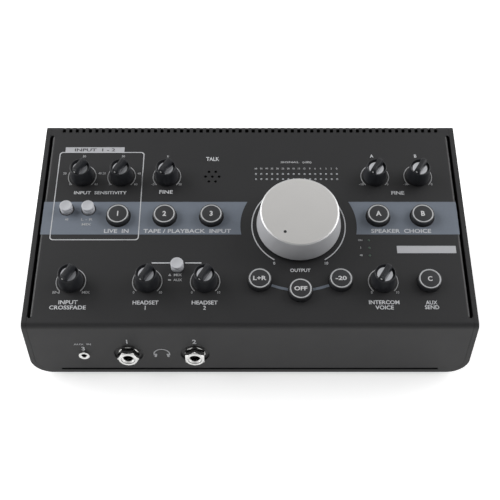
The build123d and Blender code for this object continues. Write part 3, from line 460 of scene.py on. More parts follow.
class Paint(Enum):
    """The object's finishes, apart from the turned metal."""

    CASE = GrainFinish(
        "case_powder_coat", (0.0105, 0.0105, 0.0115), 0.5, depth=0.012 * MM, specular=0.42
    )
    INK = GrainFinish("white_ink", (0.62, 0.63, 0.65), 0.55, contrast=0.1)
    FINE_INK = GrainFinish("fine_white_ink", (0.46, 0.465, 0.475), 0.55, contrast=0.1)
    BAND = GrainFinish("blue_grey_ink", (0.168, 0.194, 0.235), 0.5, contrast=0.1)
    LABEL = GrainFinish("pale_label_ink", (0.5, 0.505, 0.53), 0.5, contrast=0.08)
    DARK_INK = GrainFinish("dark_ink", (0.03, 0.03, 0.034), 0.55, contrast=0.1)
    KNOB = GrainFinish("knob_moulding", (0.0135, 0.0145, 0.0175), 0.36, grain=0.25 * MM)
    GRIP = GrainFinish("grip_moulding", (0.02, 0.021, 0.0245), 0.5, grain=0.25 * MM)
    SCOOP = GrainFinish("satin_silver", (0.72, 0.73, 0.76), 0.3, contrast=0.05, metallic=1.0)
    DOT = GrainFinish("pointer_paint", (0.5, 0.5, 0.5), 0.45, contrast=0.04)
    CAPTION = GrainFinish("caption_paint", (0.66, 0.66, 0.67), 0.45, contrast=0.04)
    BUTTON = GrainFinish("button_moulding", (0.02, 0.0205, 0.023), 0.42, grain=0.3 * MM)
    RING = GrainFinish("ring_translucent", (0.52, 0.53, 0.54), 0.35, contrast=0.03)
    PUSH = GrainFinish("push_cap_moulding", (0.57, 0.58, 0.61), 0.4, contrast=0.05)
    RUBBER = GrainFinish("foot_rubber", (0.012, 0.012, 0.012), 0.8, grain=0.6 * MM)
    SOCKET = GrainFinish("socket_moulding", (0.014, 0.014, 0.015), 0.4)
    BODY = GrainFinish("switch_moulding", (0.035, 0.035, 0.038), 0.5)
    LENS = GrainFinish("lamp_lens", (0.38, 0.395, 0.41), 0.55, contrast=0.03)
    GREEN_LENS = GrainFinish("green_lens", (0.05, 0.095, 0.065), 0.3, contrast=0.03)
    SCREW = GrainFinish("black_zinc", (0.05, 0.05, 0.052), 0.38, metallic=1.0)
    PLATE = GrainFinish("nickel_plate", (0.72, 0.72, 0.71), 0.16, depth=0.002 * MM, metallic=1.0)
    SHELL = GrainFinish("tin_plate", (0.62, 0.63, 0.64), 0.3, depth=0.003 * MM, metallic=1.0)
    BRASS = GrainFinish("plain_brass", (0.55, 0.4, 0.16), 0.3, depth=0.003 * MM, metallic=1.0)
    BOARD = BoardFinish()
    RIBBON = RibbonFinish()

    @cache
    def material(self) -> Material:
        """The finish's material."""
        return self.value.material()


SATIN_TOP = TurnedFinish("turned_aluminium_satin", (0.74, 0.73, 0.715), 0.34)
BRIGHT_CUT = TurnedFinish("turned_aluminium_bright", (0.5, 0.5, 0.5), 0.5, depth=0.002 * MM)
LINED_SIDE = TurnedFinish(
    "turned_aluminium_lined", (0.5, 0.505, 0.525), 0.5, depth=0.05 * MM, metallic=0.2
)


# ---------------------------------------------------------------- geometry node trees
def end_tree(sheet: Sheet, shape: NodeSocket, given: NodeRow, result: NodeRow) -> None:
    """Ends a geometry tree in Realize Instances and Set Material.

    Args:
        sheet: the tree's sheet.
        shape: the geometry so far.
        given: what the tree is given, with a Material.
        result: where its results go.
    """
    realize = sheet.add("GeometryNodeRealizeInstances")
    paint = sheet.add("GeometryNodeSetMaterial")
    sheet.link(shape, realize.inputs["Geometry"])
    sheet.link(realize.outputs["Geometry"], paint.inputs["Geometry"])
    sheet.link(given["Material"], paint.inputs["Material"])
    sheet.link(paint.outputs["Geometry"], result["Geometry"])


@cache
def turned_tree() -> NodeTree:
    """Geometry tree that turns a profile, whose points are (radius, 0, height), into a solid.

    Returns:
        The tree, which is made once.
    """
    sheet, given, result = new_group(
        "turned_solid",
        "GeometryNodeTree",
        {"Geometry": (GEOMETRY, None), "Segments": (INTEGER, 96), "Material": (MATERIAL, None)},
        {"Geometry": GEOMETRY},
    )
    count = sheet.add("GeometryNodeAttributeDomainSize", component="MESH")
    sheet.link(given["Geometry"], count.inputs["Geometry"])
    rows = count.outputs["Point Count"]
    grid = sheet.add("GeometryNodeMeshGrid")
    sheet.link(sheet.math("ADD", given["Segments"], 1.0), grid.inputs["Vertices X"])
    sheet.link(rows, grid.inputs["Vertices Y"])
    index = sheet.add("GeometryNodeInputIndex").outputs[0]
    row = sheet.math("MODULO", index, rows)
    column = sheet.math("FLOOR", sheet.math("DIVIDE", index, rows))
    sample = sheet.add("GeometryNodeSampleIndex", data_type="FLOAT_VECTOR", domain="POINT")
    sheet.link(given["Geometry"], sample.inputs["Geometry"])
    sheet.link(sheet.add("GeometryNodeInputPosition").outputs[0], sample.inputs["Value"])
    sheet.link(row, sample.inputs["Index"])
    radius, _, height = sheet.parts(sample.outputs["Value"])
    share = sheet.math("DIVIDE", column, given["Segments"])
    angle = sheet.math("MULTIPLY", share, FULL_TURN)
    point = sheet.add("ShaderNodeCombineXYZ")
    sheet.link(sheet.math("MULTIPLY", radius, sheet.math("COSINE", angle)), point.inputs[0])
    sheet.link(sheet.math("MULTIPLY", radius, sheet.math("SINE", angle)), point.inputs[1])
    sheet.link(height, point.inputs[2])
    move = sheet.add("GeometryNodeSetPosition")
    sheet.link(grid.outputs["Mesh"], move.inputs["Geometry"])
    sheet.link(point.outputs[0], move.inputs["Position"])
    merge = sheet.add("GeometryNodeMergeByDistance", {"Distance": WELD})
    sheet.link(move.outputs[0], merge.inputs["Geometry"])
    end_tree(sheet, merge.outputs[0], given, result)
    return sheet.tree


@cache
def repeat_tree() -> NodeTree:
    """Geometry tree that repeats its own mesh on a flat grid, centred on the origin.

    Returns:
        The tree, which is made once.
    """
    sheet, given, result = new_group(
        "repeat_on_grid",
        "GeometryNodeTree",
        {
            "Geometry": (GEOMETRY, None),
            "Columns": (INTEGER, 2),
            "Rows": (INTEGER, 2),
            "Column Pitch": (FLOAT, 1.0),
            "Row Pitch": (FLOAT, 1.0),
            "Material": (MATERIAL, None),
        },
        {"Geometry": GEOMETRY},
    )
    grid = sheet.add("GeometryNodeMeshGrid")
    for count, pitch, vertices, size in (
        ("Columns", "Column Pitch", "Vertices X", "Size X"),
        ("Rows", "Row Pitch", "Vertices Y", "Size Y"),
    ):
        gaps = sheet.math("SUBTRACT", given[count], 1.0)
        sheet.link(sheet.math("MULTIPLY", gaps, given[pitch]), grid.inputs[size])
        sheet.link(given[count], grid.inputs[vertices])
    copies = sheet.add("GeometryNodeInstanceOnPoints")
    sheet.link(grid.outputs["Mesh"], copies.inputs["Points"])
    sheet.link(given["Geometry"], copies.inputs["Instance"])
    end_tree(sheet, copies.outputs[0], given, result)
    return sheet.tree


@cache
def circle_tree() -> NodeTree:
    """Geometry tree that repeats its own mesh round the Z axis, each copy turned with its place.

    Returns:
        The tree, which is made once.
    """
    sheet, given, result = new_group(
        "repeat_round_axis",
        "GeometryNodeTree",
        {
            "Geometry": (GEOMETRY, None),
            "Count": (INTEGER, 6),
            "Radius": (FLOAT, 1.0),
            "Material": (MATERIAL, None),
        },
        {"Geometry": GEOMETRY},
    )
    ring = sheet.add("GeometryNodeMeshCircle")
    sheet.link(given["Count"], ring.inputs["Vertices"])
    sheet.link(given["Radius"], ring.inputs["Radius"])
    turn = sheet.add("ShaderNodeCombineXYZ")
    index = sheet.add("GeometryNodeInputIndex").outputs[0]
    share = sheet.math("DIVIDE", index, given["Count"])
    sheet.link(sheet.math("MULTIPLY", share, FULL_TURN), turn.inputs[2])
    copies = sheet.add("GeometryNodeInstanceOnPoints")
    sheet.link(ring.outputs["Mesh"], copies.inputs["Points"])
    sheet.link(given["Geometry"], copies.inputs["Instance"])
    sheet.link(turn.outputs[0], copies.inputs["Rotation"])
    end_tree(sheet, copies.outputs[0], given, result)
    return sheet.tree


def run_tree(name: str, mesh: Mesh, tree: NodeTree, values: dict[str, object]) -> Mesh:
    """Runs a geometry tree on a mesh and returns the result as a plain mesh.

    Args:
        name: the new mesh's name.
        mesh: the tree's input.
        tree: the geometry tree.
        values: the tree's input names to their values.

    Returns:
        The evaluated mesh, with its normals pointing outwards.
    """
    carrier = add_object(f"{name}_carrier", mesh)
    modifier = carrier.modifiers.new("tree", "NODES")
    modifier.node_group = tree
    for item in tree.interface.items_tree:
        if item.item_type == "SOCKET" and item.in_out == "INPUT" and item.name in values:
            modifier[item.identifier] = values[item.name]
    made = take_mesh(carrier)
    made.name = name
    face_outwards(made)
    return made


def repeated(name: str, mesh: Mesh, grid: tuple[int, int], pitches: Point, paint: Paint) -> Mesh:
    """Repeats a mesh on a flat grid and shades the copies smooth.

    Args:
        name: the new mesh's name.
        mesh: the mesh.
        grid: its columns and rows.
        pitches: the distances between columns and between rows.
        paint: the copies' finish.

    Returns:
        One mesh of all copies.
    """
    values = {
        "Columns": grid[0],
        "Rows": grid[1],
        "Column Pitch": pitches[0],
        "Row Pitch": pitches[1],
        "Material": paint.material(),
    }
    made = run_tree(name, mesh, repeat_tree(), values)
    smooth(made)
    return made


# ---------------------------------------------------------------- meshes
def add_object(name: str, data: ID) -> Object:
    """Puts a new object into the scene.

    Args:
        name: the object's name.
        data: its mesh, curve, lamp or camera.

    Returns:
        The object.
    """
    made = bpy.data.objects.new(name, data)
    bpy.context.scene.collection.objects.link(made)
    return made


def take_mesh(carrier: Object) -> Mesh:
    """Takes an object's mesh as its modifiers leave it, and drops the object.

    Args:
        carrier: the object.

    Returns:
        The mesh.
    """
    graph = bpy.context.evaluated_depsgraph_get()
    mesh = bpy.data.meshes.new_from_object(carrier.evaluated_get(graph))
    bpy.data.objects.remove(carrier)
    return mesh


@contextmanager
def editing(mesh: Mesh) -> Iterator[bmesh.types.BMesh]:
    """Opens a mesh for editing, and writes it back at the end of the block.

    Args:
        mesh: the mesh.

    Yields:
        Its editable shape.
    """
    shape = bmesh.new()
    shape.from_mesh(mesh)
    yield shape
    shape.to_mesh(mesh)
    shape.free()


def face_outwards(mesh: Mesh) -> None:
    """Merges a mesh's doubles and turns its faces outwards.

    Args:
        mesh: the mesh.
    """
    with editing(mesh) as shape:
        bmesh.ops.remove_doubles(shape, verts=shape.verts, dist=WELD)
        bmesh.ops.recalc_face_normals(shape, faces=shape.faces)


def smooth(mesh: Mesh, angle: float = 32.0) -> None:
    """Shades a mesh smooth, apart from edges sharper than an angle in degrees."""
    mesh.shade_smooth()
    mesh.set_sharp_from_angle(angle=math.radians(angle))


def modified(mesh: Mesh, kind: str, cutter: Mesh | None = None, **settings: object) -> Mesh:
    """Applies one modifier to a mesh.

    Args:
        mesh: the mesh, which is left alone.
        kind: the modifier's type.
        cutter: the mesh of a boolean's other solid.
        settings: the modifier's settings.

    Returns:
        The new mesh.
    """
    carrier = add_object("carrier", mesh)
    modifier = carrier.modifiers.new("step", kind)
    other = None
    if cutter is not None:
        other = add_object("cutter", cutter)
        modifier.object = other
    for key, value in settings.items():
        setattr(modifier, key, value)
    made = take_mesh(carrier)
    if other is not None:
        bpy.data.objects.remove(other)
    return made


def cut(mesh: Mesh, cutter: Mesh) -> Mesh:
    """Takes one solid from another."""
    return modified(mesh, "BOOLEAN", cutter, operation="DIFFERENCE", solver="EXACT")


def break_edges(mesh: Mesh, width: float, steps: int = 2, angle: float = 30.0) -> Mesh:
    """Rounds a mesh's edges.

    Args:
        mesh: the mesh.
        width: width of the rounding, in the mesh's own units.
        steps: segments across it.
        angle: the least bend, in degrees, of an edge that is rounded.

    Returns:
        The new mesh.
    """
    return modified(
        mesh,
        "BEVEL",
        width=width,
        segments=steps,
        limit_method="ANGLE",
        angle_limit=math.radians(angle),
        use_clamp_overlap=True,
    )


def tidy_copy(node: Object, weld: float = 0.002 * MM, flat: float = 0.6) -> Mesh:
    """Copies a CAD node's mesh, with its doubles merged and its flat faces made whole.

    Args:
        node: the node.
        weld: how close doubles are, in metres.
        flat: the largest bend, in degrees, inside a flat face.

    Returns:
        The copy.
    """
    mesh = node.data.copy()
    with editing(mesh) as shape:
        bmesh.ops.remove_doubles(shape, verts=shape.verts, dist=weld)
        limit = math.radians(flat)
        bmesh.ops.dissolve_limit(shape, angle_limit=limit, verts=shape.verts, edges=shape.edges)
    return mesh


def extruded(outline: Sequence[Point], start: float, end: float) -> Mesh:
    """Makes the solid of an outline, extruded along Y.

    Args:
        outline: its corners, (x, z).
        start: where the solid starts.
        end: where it ends.

    Returns:
        The solid's mesh.
    """
    mesh = bpy.data.meshes.new("extruded")
    count = len(outline)
    with editing(mesh) as shape:
        near = [shape.verts.new((x, start, z)) for x, z in outline]
        far = [shape.verts.new((x, end, z)) for x, z in outline]
        shape.faces.new(near)
        shape.faces.new(far[::-1])
        for n in range(count):
            shape.faces.new((near[n], far[n], far[(n + 1) % count], near[(n + 1) % count]))
        bmesh.ops.recalc_face_normals(shape, faces=shape.faces)
    return mesh


def merged(meshes: Iterable[Mesh]) -> Mesh:
    """Puts several meshes into one, and drops them.

    Args:
        meshes: the meshes.

    Returns:
        The new mesh.
    """
    result = bpy.data.meshes.new("merged")
    with editing(result) as shape:
        for mesh in meshes:
            shape.from_mesh(mesh)
            bpy.data.meshes.remove(mesh)
    return result


def rounded(corners: Sequence[Corner], steps: int = 4) -> list[Point]:
    """Rounds the corners of an open line.

    Args:
        corners: (across, height) of each sharp point, (across, height, radius) of the others.
        steps: segments in each rounding.

    Returns:
        The line's points.
    """
    points: list[Point] = []
    for place, (across, height, *bend) in enumerate(corners):
        if not bend:
            points.append((across, height))
            continue
        here = Vector((across, height))
        back = (Vector(corners[place - 1][:2]) - here).normalized()
        ahead = (Vector(corners[place + 1][:2]) - here).normalized()
        half = back.angle(ahead) / 2
        reach = bend[0] / math.tan(half)
        centre = here + (back + ahead).normalized() * bend[0] / math.sin(half)
        start, end = here + back * reach - centre, here + ahead * reach - centre
        for step in range(steps + 1):
            spoke = start.lerp(end, step / steps).normalized() * bend[0]
            points.append(tuple(centre + spoke))
    return points


def circle(centre: Point, radius: float, steps: int = 48) -> list[Point]:
    """Points of a circle."""
    angles = [FULL_TURN * n / steps for n in range(steps)]
    return [(centre[0] + radius * math.cos(a), centre[1] + radius * math.sin(a)) for a in angles]


def rounded_box(box: Box, radius: float, steps: int = 6) -> list[Point]:
    """Draws an upright rectangle with rounded corners.

    Args:
        box: its left, bottom, right and top.
        radius: its corners' radius.
        steps: segments in each corner.

    Returns:
        Its points, anticlockwise.
    """
    left, bottom, right, top = box[0] + radius, box[1] + radius, box[2] - radius, box[3] - radius
    points: list[Point] = []
    for quarter, (x, y) in enumerate(((right, top), (left, top), (left, bottom), (right, bottom))):
        for step in range(steps + 1):
            angle = FULL_TURN / 4 * (quarter + step / steps)
            points.append((x + radius * math.cos(angle), y + radius * math.sin(angle)))
    return points


def turned_mesh(profile: Sequence[Point], segments: int = 96) -> Mesh:
    """Turns a closed solid from a profile.

    Args:
        profile: its points, (radius, height), from the axis round to the axis.
        segments: facets round the axis.

    Returns:
        The solid's mesh, in its own millimetres.
    """
    line = bpy.data.meshes.new("profile")
    line.from_pydata([(across, 0.0, height) for across, height in profile], [], [])
    return run_tree("turned", line, turned_tree(), {"Segments": segments})


def turned_ring(profile: Sequence[Point], segments: int) -> Mesh:
    """Turns a ring from a profile that closes on itself away from the axis."""
    return turned_mesh([*profile, profile[0]], segments)


def dome(radius: float, rise: float, foot: float, segments: int, steps: int = 5) -> Mesh:
    """Turns a low dome on a short cylinder.

    Args:
        radius: the cylinder's radius.
        rise: the dome's height, over z = 0.
        foot: height of the cylinder's foot.
        segments: facets round the axis.
        steps: facets from the rim to the crown.

    Returns:
        The solid's mesh.
    """
    points = [(0.0, foot), (radius, foot)]
    for step in range(steps + 1):
        angle = FULL_TURN / 4 * step / steps
        points.append((radius * math.cos(angle), rise * math.sin(angle)))
    return turned_mesh(points, segments)


# ---------------------------------------------------------------- pieces
def add_piece(name: str, mesh: Mesh, place: Matrix, body: str, *paints: Material) -> Object:
    """Puts a finished mesh into the scene as a piece that rides on a body.

    Args:
        name: the piece's name.
        mesh: its mesh, drawn about its own place.
        place: that place.
        body: the body that it rides on.
        paints: its materials, in the order of the mesh's material numbers.

    Returns:
        The piece.
    """
    mesh.name = name
    mesh.transform(place)
    numbers = [0] * len(mesh.polygons)
    if len(paints) > 1:
        mesh.polygons.foreach_get("material_index", numbers)
    mesh.materials.clear()
    for paint in paints:
        mesh.materials.append(paint)
    mesh.polygons.foreach_set("material_index", numbers)
    piece = add_object(name, mesh)
    LOG.info("%s on %s: %d faces", name, body, len(mesh.polygons))
    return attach(piece, body)


def stand_in(node: str, slot: str) -> None:
    """Hides a CAD node that a piece stands in for."""
    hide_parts(node)


def dress(frame: dict, paint: Paint, *nodes: str) -> None:
    """Gives CAD nodes that stay their finish.

    Args:
        paint: the finish.
        nodes: the nodes' names.
    """
    for node in nodes:
        for slot in frame["nodes"][node].material_slots:
            slot.link = "OBJECT"
            slot.material = paint.material()


def refined(
    frame: dict, node: str, edge: float, paint: Paint, slot: str, body: str = "case", steps: int = 2
) -> None:
    """Stands a smooth copy with rounded edges in for a CAD node.

    Args:
        node: the node's name.
        edge: width of the rounded edges, in millimetres.
        paint: its finish.
        slot: the record's material slot; not used.
        body: the body that the node is in.
        steps: segments across each rounded edge.
    """
    mesh = break_edges(tidy_copy(frame["nodes"][node]), edge * MM, steps)
    smooth(mesh, 40.0)
    mesh = modified(mesh, "WEIGHTED_NORMAL", mode="FACE_AREA", keep_sharp=True)
    piece = add_piece(f"{node}_finished", mesh, Matrix.Identity(4), body, paint.material())
    stand_in(node, slot)


# ---------------------------------------------------------------- places from the frame
def placed(origin: Vector, right: Vector, up: Vector, out: Vector) -> Matrix:
    """Place at a point of the frame, for shapes that are drawn in millimetres.

    Args:
        origin: the point, in metres.
        right: direction of the place's X axis.
        up: direction of its Y axis.
        out: direction of its Z axis.

    Returns:
        The place.
    """
    basis = Matrix((right, up, out)).transposed().to_4x4()
    return Matrix.Translation(origin) @ basis @ Matrix.Scale(MM, 4)


@dataclass
class Layout:
    """Where the control panel, the faces, the controls and the sockets are in the frame."""

    frame: dict
    normal: Vector = field(init=False)
    up: Vector = field(init=False)
    fold: Vector = field(init=False)
    floor: float = field(init=False)
    front_y: float = field(init=False)
    joints: dict[str, dict] = field(init=False)

    def __post_init__(self) -> None:
        """Reads the panel's plane from the volume control's joint."""
        self.joints = {joint["name"]: joint for joint in self.frame["joints"]}
        volume = self.joints["turn_volume"]
        self.normal = -Vector(volume["axis"]).normalized()
        self.up = self.normal.cross(ACROSS)
        self.front_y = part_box("top_cover")[0].y
        self.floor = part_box("wrap_chassis")[0].z
        on_panel = Vector(volume["pos_m"])
        self.fold = on_panel - self.up * ((on_panel.y - self.front_y) / self.up.y)
        self.fold.x = 0.0

    def panel(self, x: float = 0.0, s: float = 0.0, h: float = 0.0, turn: float = 0.0) -> Matrix:
        """Place on the control panel.

        Args:
            x: across, in millimetres.
            s: up the slope from the front fold, in millimetres.
            h: above the panel, in millimetres.
            turn: turn about the panel's normal, in degrees, anticlockwise.

        Returns:
            The place, with Y up the slope and Z along the panel's normal.
        """
        origin = self.fold + (ACROSS * x + self.up * s + self.normal * h) * MM
        spin = Matrix.Rotation(math.radians(turn), 4, "Z")
        return placed(origin, ACROSS, self.up, self.normal) @ spin

    def front(self) -> Matrix:
        """Place of the print on the front face, with Y up from the chassis's underside."""
        origin = Vector((0.0, self.front_y - INK_LIFT * MM, self.floor))
        return placed(origin, ACROSS, ABOVE, -BACK)

    def on_panel(self, point: Vector) -> Vector:
        """Across, up the slope and above the panel, in millimetres, of a point of the frame."""
        offset = (point - self.fold) / MM
        return Vector((offset.x, offset.dot(self.up), offset.dot(self.normal)))

    def knob_spot(self, name: str) -> Point:
        """Column and row of a rotary control."""
        spot = self.on_panel(Vector(self.joints[f"turn_{name}"]["pos_m"]))
        return spot.x, spot.y

    def knob(self, name: str) -> Matrix:
        """Place of a knob at its low stop, with its pointer along minus Y."""
        rest_turn = (2 * HALF_TURN_DEG - self.joints[f"turn_{name}"]["range_deg"][1]) / 2
        return self.panel(*self.knob_spot(name), 0.0, -rest_turn)

    def crown_spot(self, node: str, skin: float = 0.05) -> Vector:
        """Finds the middle of a node's top face.

        Args:
            node: the node's name.
            skin: how far below the top a point still counts, in millimetres.

        Returns:
            Its column, its row and its height above the panel.
        """
        points = [self.on_panel(vertex.co) for vertex in self.frame["nodes"][node].data.vertices]
        top = max(point.z for point in points)
        crown = [point for point in points if point.z > top - skin]
        middle = [
            (min(point[k] for point in crown) + max(point[k] for point in crown)) / 2
            for k in range(2)
        ]
        return Vector((*middle, top))

    def mount(self, name: str) -> Matrix:
        """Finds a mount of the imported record.

        Args:
            name: the mount's name.

        Returns:
            Its place, with Z along its axis and Y upwards.
        """
        mount = next(m for m in self.frame["record"]["mounts"] if m["name"] == name)
        out = Vector(mount["axis"]).normalized()
        return placed(Vector(mount["pos_m"]), ABOVE.cross(out), ABOVE, out)


# ---------------------------------------------------------------- print
NUMBER = 1.9
TINY = 1.5
NAME = 2.9


@dataclass(frozen=True)
class Legend:
    """One printed word or number, by the middle of its box."""

    text: str
    x: float = 0.0
    y: float = 0.0
    height: float = NUMBER
    width: float | None = None


class InkLayer:
    """Collects flat printed shapes of one ink, and makes them one piece."""

    def __init__(self) -> None:
        """Starts with no shapes."""
        self.shapes = bmesh.new()

    def add_curve(self, curve: Curve, place: Matrix) -> None:
        """Fills a flat curve or a text and adds it to the layer.

        Args:
            curve: the curve or the text, which is dropped.
            place: where it goes on the printed face.
        """
        mesh = take_mesh(add_object("ink", curve))
        mesh.transform(place)
        self.shapes.from_mesh(mesh)
        bpy.data.curves.remove(curve)
        bpy.data.meshes.remove(mesh)

    def outline(self, *loops: Sequence[Point]) -> None:
        """Prints the area inside a loop, less the loops inside it.

        Args:
            loops: the outer loop, then the inner ones.
        """
        curve = bpy.data.curves.new("outline", "CURVE")
        curve.dimensions = "2D"
        curve.fill_mode = "BOTH"
        for loop in loops:
            spline = curve.splines.new("POLY")
            spline.points.add(len(loop) - 1)
            for point, (x, y) in zip(spline.points, loop):
                point.co = (x, y, 0.0, 1.0)
            spline.use_cyclic_u = True
        self.add_curve(curve, Matrix.Identity(4))

    def legend(self, legend: Legend, bold: float = 0.018, narrow: float = 0.94) -> None:
        """Prints a word so that its box has the legend's height and width.

        Args:
            legend: the word and its place.
            bold: how far the strokes are thickened, as a share of the type size.
            narrow: how wide the type is for its height, where the legend has no width.
        """
        curve = bpy.data.curves.new("legend", "FONT")
        curve.body = legend.text
        curve.offset = bold
        curve.resolution_u = 3
        carrier = add_object("legend", curve)
        bpy.context.view_layer.update()
        box = [Vector(corner) for corner in carrier.bound_box]
        low = Vector((min(c.x for c in box), min(c.y for c in box)))
        high = Vector((max(c.x for c in box), max(c.y for c in box)))
        bpy.data.objects.remove(carrier)
        tall = legend.height / (high.y - low.y)
        wide = legend.width / (high.x - low.x) if legend.width else tall * narrow
        place = (
            Matrix.Translation((legend.x, legend.y, 0.0))
            @ Matrix.Diagonal((wide, tall, 1.0, 1.0))
            @ Matrix.Translation((-(low.x + high.x) / 2, -(low.y + high.y) / 2, 0.0))
        )
        self.add_curve(curve, place)

    def legends(self, words: Iterable[Legend], x: float = 0.0, y: float = 0.0) -> None:
        """Prints several words, moved across and up."""
        for word in words:
            self.legend(replace(word, x=word.x + x, y=word.y + y))

    def arc(self, centre: Point, radius: float, width: float, start: float, end: float) -> None:
        """Prints a stretch of ring.

        Args:
            centre: the ring's middle.
            radius: radius of the line's middle.
            width: the line's width.
            start: where it starts, in degrees clockwise from straight up.
            end: where it ends.
        """
        steps = max(8, int(abs(end - start) / ARC_STEP_DEG))
        angles = [math.radians(start + (end - start) * n / steps) for n in range(steps + 1)]
        rims = [
            [(centre[0] + rim * math.sin(a), centre[1] + rim * math.cos(a)) for a in angles]
            for rim in (radius + width / 2, radius - width / 2)
        ]
        self.outline(rims[0] + rims[1][::-1])

    def bar(self, x0: float, y0: float, x1: float, y1: float) -> None:
        """Prints an upright rectangle between two corners."""
        self.outline([(x0, y0), (x1, y0), (x1, y1), (x0, y1)])

    def make(self, name: str, place: Matrix, paint: Paint, body: str = "case") -> None:
        """Makes the layer's piece, facing along the place's Z axis.

        Args:
            name: the piece's name.
            place: the printed face's place.
            paint: the ink.
            body: the body that carries the print.
        """
        for face in self.shapes.faces:
            face.normal_update()
            if face.normal.z < 0:
                face.normal_flip()
        mesh = bpy.data.meshes.new(name)
        self.shapes.to_mesh(mesh)
        self.shapes.free()
        add_piece(name, mesh, place, body, paint.material())


# ---------------------------------------------------------------- casing
@dataclass
class Casing:
    """Folded case, its feet and its screws, with the edges that bending and paint leave."""

    layout: Layout
    chassis_edge: float = 0.6
    sheet_edge: float = 0.22
    foot_edge: float = 0.35
    screw_edge: float = 0.18

    def build(self) -> None:
        """Stands the finished case in for its nodes."""
        frame = self.layout.frame
        refined(frame, "wrap_chassis", self.chassis_edge, Paint.CASE, "case_paint")
        for node in ("top_cover", "rear_panel"):
            refined(frame, node, self.sheet_edge, Paint.CASE, "case_paint")
        refined(frame, "rubber_feet", self.foot_edge, Paint.RUBBER, "feet")
        for node in ("foot_screws", "case_screws", "board_screws"):
            refined(frame, node, self.screw_edge, Paint.SCREW, "screws")


# ---------------------------------------------------------------- panel print
@dataclass(frozen=True)
class Dial:
    """Print round one small knob, with the words placed from its axis."""

    name: str
    words: tuple[Legend, ...]
    radius: float = 9.8
    width: float = 0.55
    gap: float = 44.0


GAIN_SCALE = (
    Legend("0", -8.0, -6.5),
    Legend("20", -12.6, 2.7),
    Legend("30", 0.0, 17.6),
    Legend("40", 12.3, 2.7),
    Legend("60", 10.4, -6.5),
)
LINE_SCALE = (Legend("-20", -9.0, -6.5), Legend("0", 0.0, 17.6), Legend("+20", 8.8, -6.5))
PHONES_SCALE = (Legend("0", -8.6, -8.1), Legend("10", 9.2, -8.1))
DIALS = (
    Dial("gain_1", GAIN_SCALE),
    Dial("gain_2", GAIN_SCALE),
    Dial("line_trim", (*LINE_SCALE, Legend("FINE", 0.0, -13.0, 3.0, 9.5))),
    Dial(
        "trim_a", (Legend("-10", -9.8, -6.5), Legend("0", 8.6, -6.5), Legend("A", -1.1, 17.8, 2.8))
    ),
    Dial(
        "trim_b", (Legend("-10", -9.1, -6.5), Legend("0", 9.2, -6.5), Legend("B", -0.2, 17.8, 2.8))
    ),
    Dial(
        "blend",
        (
            Legend("IN", -9.0, -8.1, width=4.6),
            Legend("MIX", 10.6, -8.1, width=5.2),
            Legend("INPUT", -0.4, -15.4, NAME, 12.6),
            Legend("CROSSFADE", -0.4, -19.2, NAME, 24.0),
        ),
    ),
    Dial(
        "phones_1",
        (*PHONES_SCALE, Legend("HEADSET", -0.3, -15.6, NAME, 17.0), Legend("1", -0.3, -19.4, NAME)),
    ),
    Dial(
        "phones_2",
        (*PHONES_SCALE, Legend("HEADSET", 0.1, -15.6, NAME, 17.0), Legend("2", 0.1, -19.4, NAME)),
    ),
    Dial(
        "talkback",
        (
            Legend("0", -8.1, -8.1),
            Legend("10", 9.1, -8.1),
            Legend("INTERCOM", -0.4, -15.4, NAME, 20.0),
            Legend("VOICE", -0.4, -19.2, NAME, 12.0),
        ),
    ),
)
VOLUME_WORDS = (
    Legend("0", -17.1, -29.9, 2.2),
    Legend("10", 18.0, -29.9, 2.2),
    Legend("OUTPUT", 0.3, -35.3, 2.5, 13.5),
)
BUTTON_WORDS = {
    "source_1": (Legend("LIVE  IN", -0.6, -11.6, 3.2, 16.8),),
    "source_2": (Legend("TAPE / PLAYBACK  INPUT", 15.9, -11.6, 3.2, 60.0),),
    "monitor_a": (Legend("SPEAKER  CHOICE", 15.1, -11.6, 3.2, 41.0),),
    "cue": (Legend("AUX", 0.1, -15.6, NAME, 7.6), Legend("SEND", 0.1, -19.0, NAME, 9.4)),
}
PUSH_WORDS = {
    "phantom": (Legend("48", 0.6, -8.2),),
    "pan": (Legend("L - R", -0.5, -8.2, width=8.0), Legend("MIX", -0.5, -12.2, width=6.4)),
    "phones_source": (Legend("MIX", 0.6, -6.4, width=5.4), Legend("AUX", 0.6, -10.2, width=5.8)),
}
METER_SCALE = (60, 50, 40, 35, 30, 25, 20, 18, 15, 12, 9, 6, 4, 3, 2, 0)


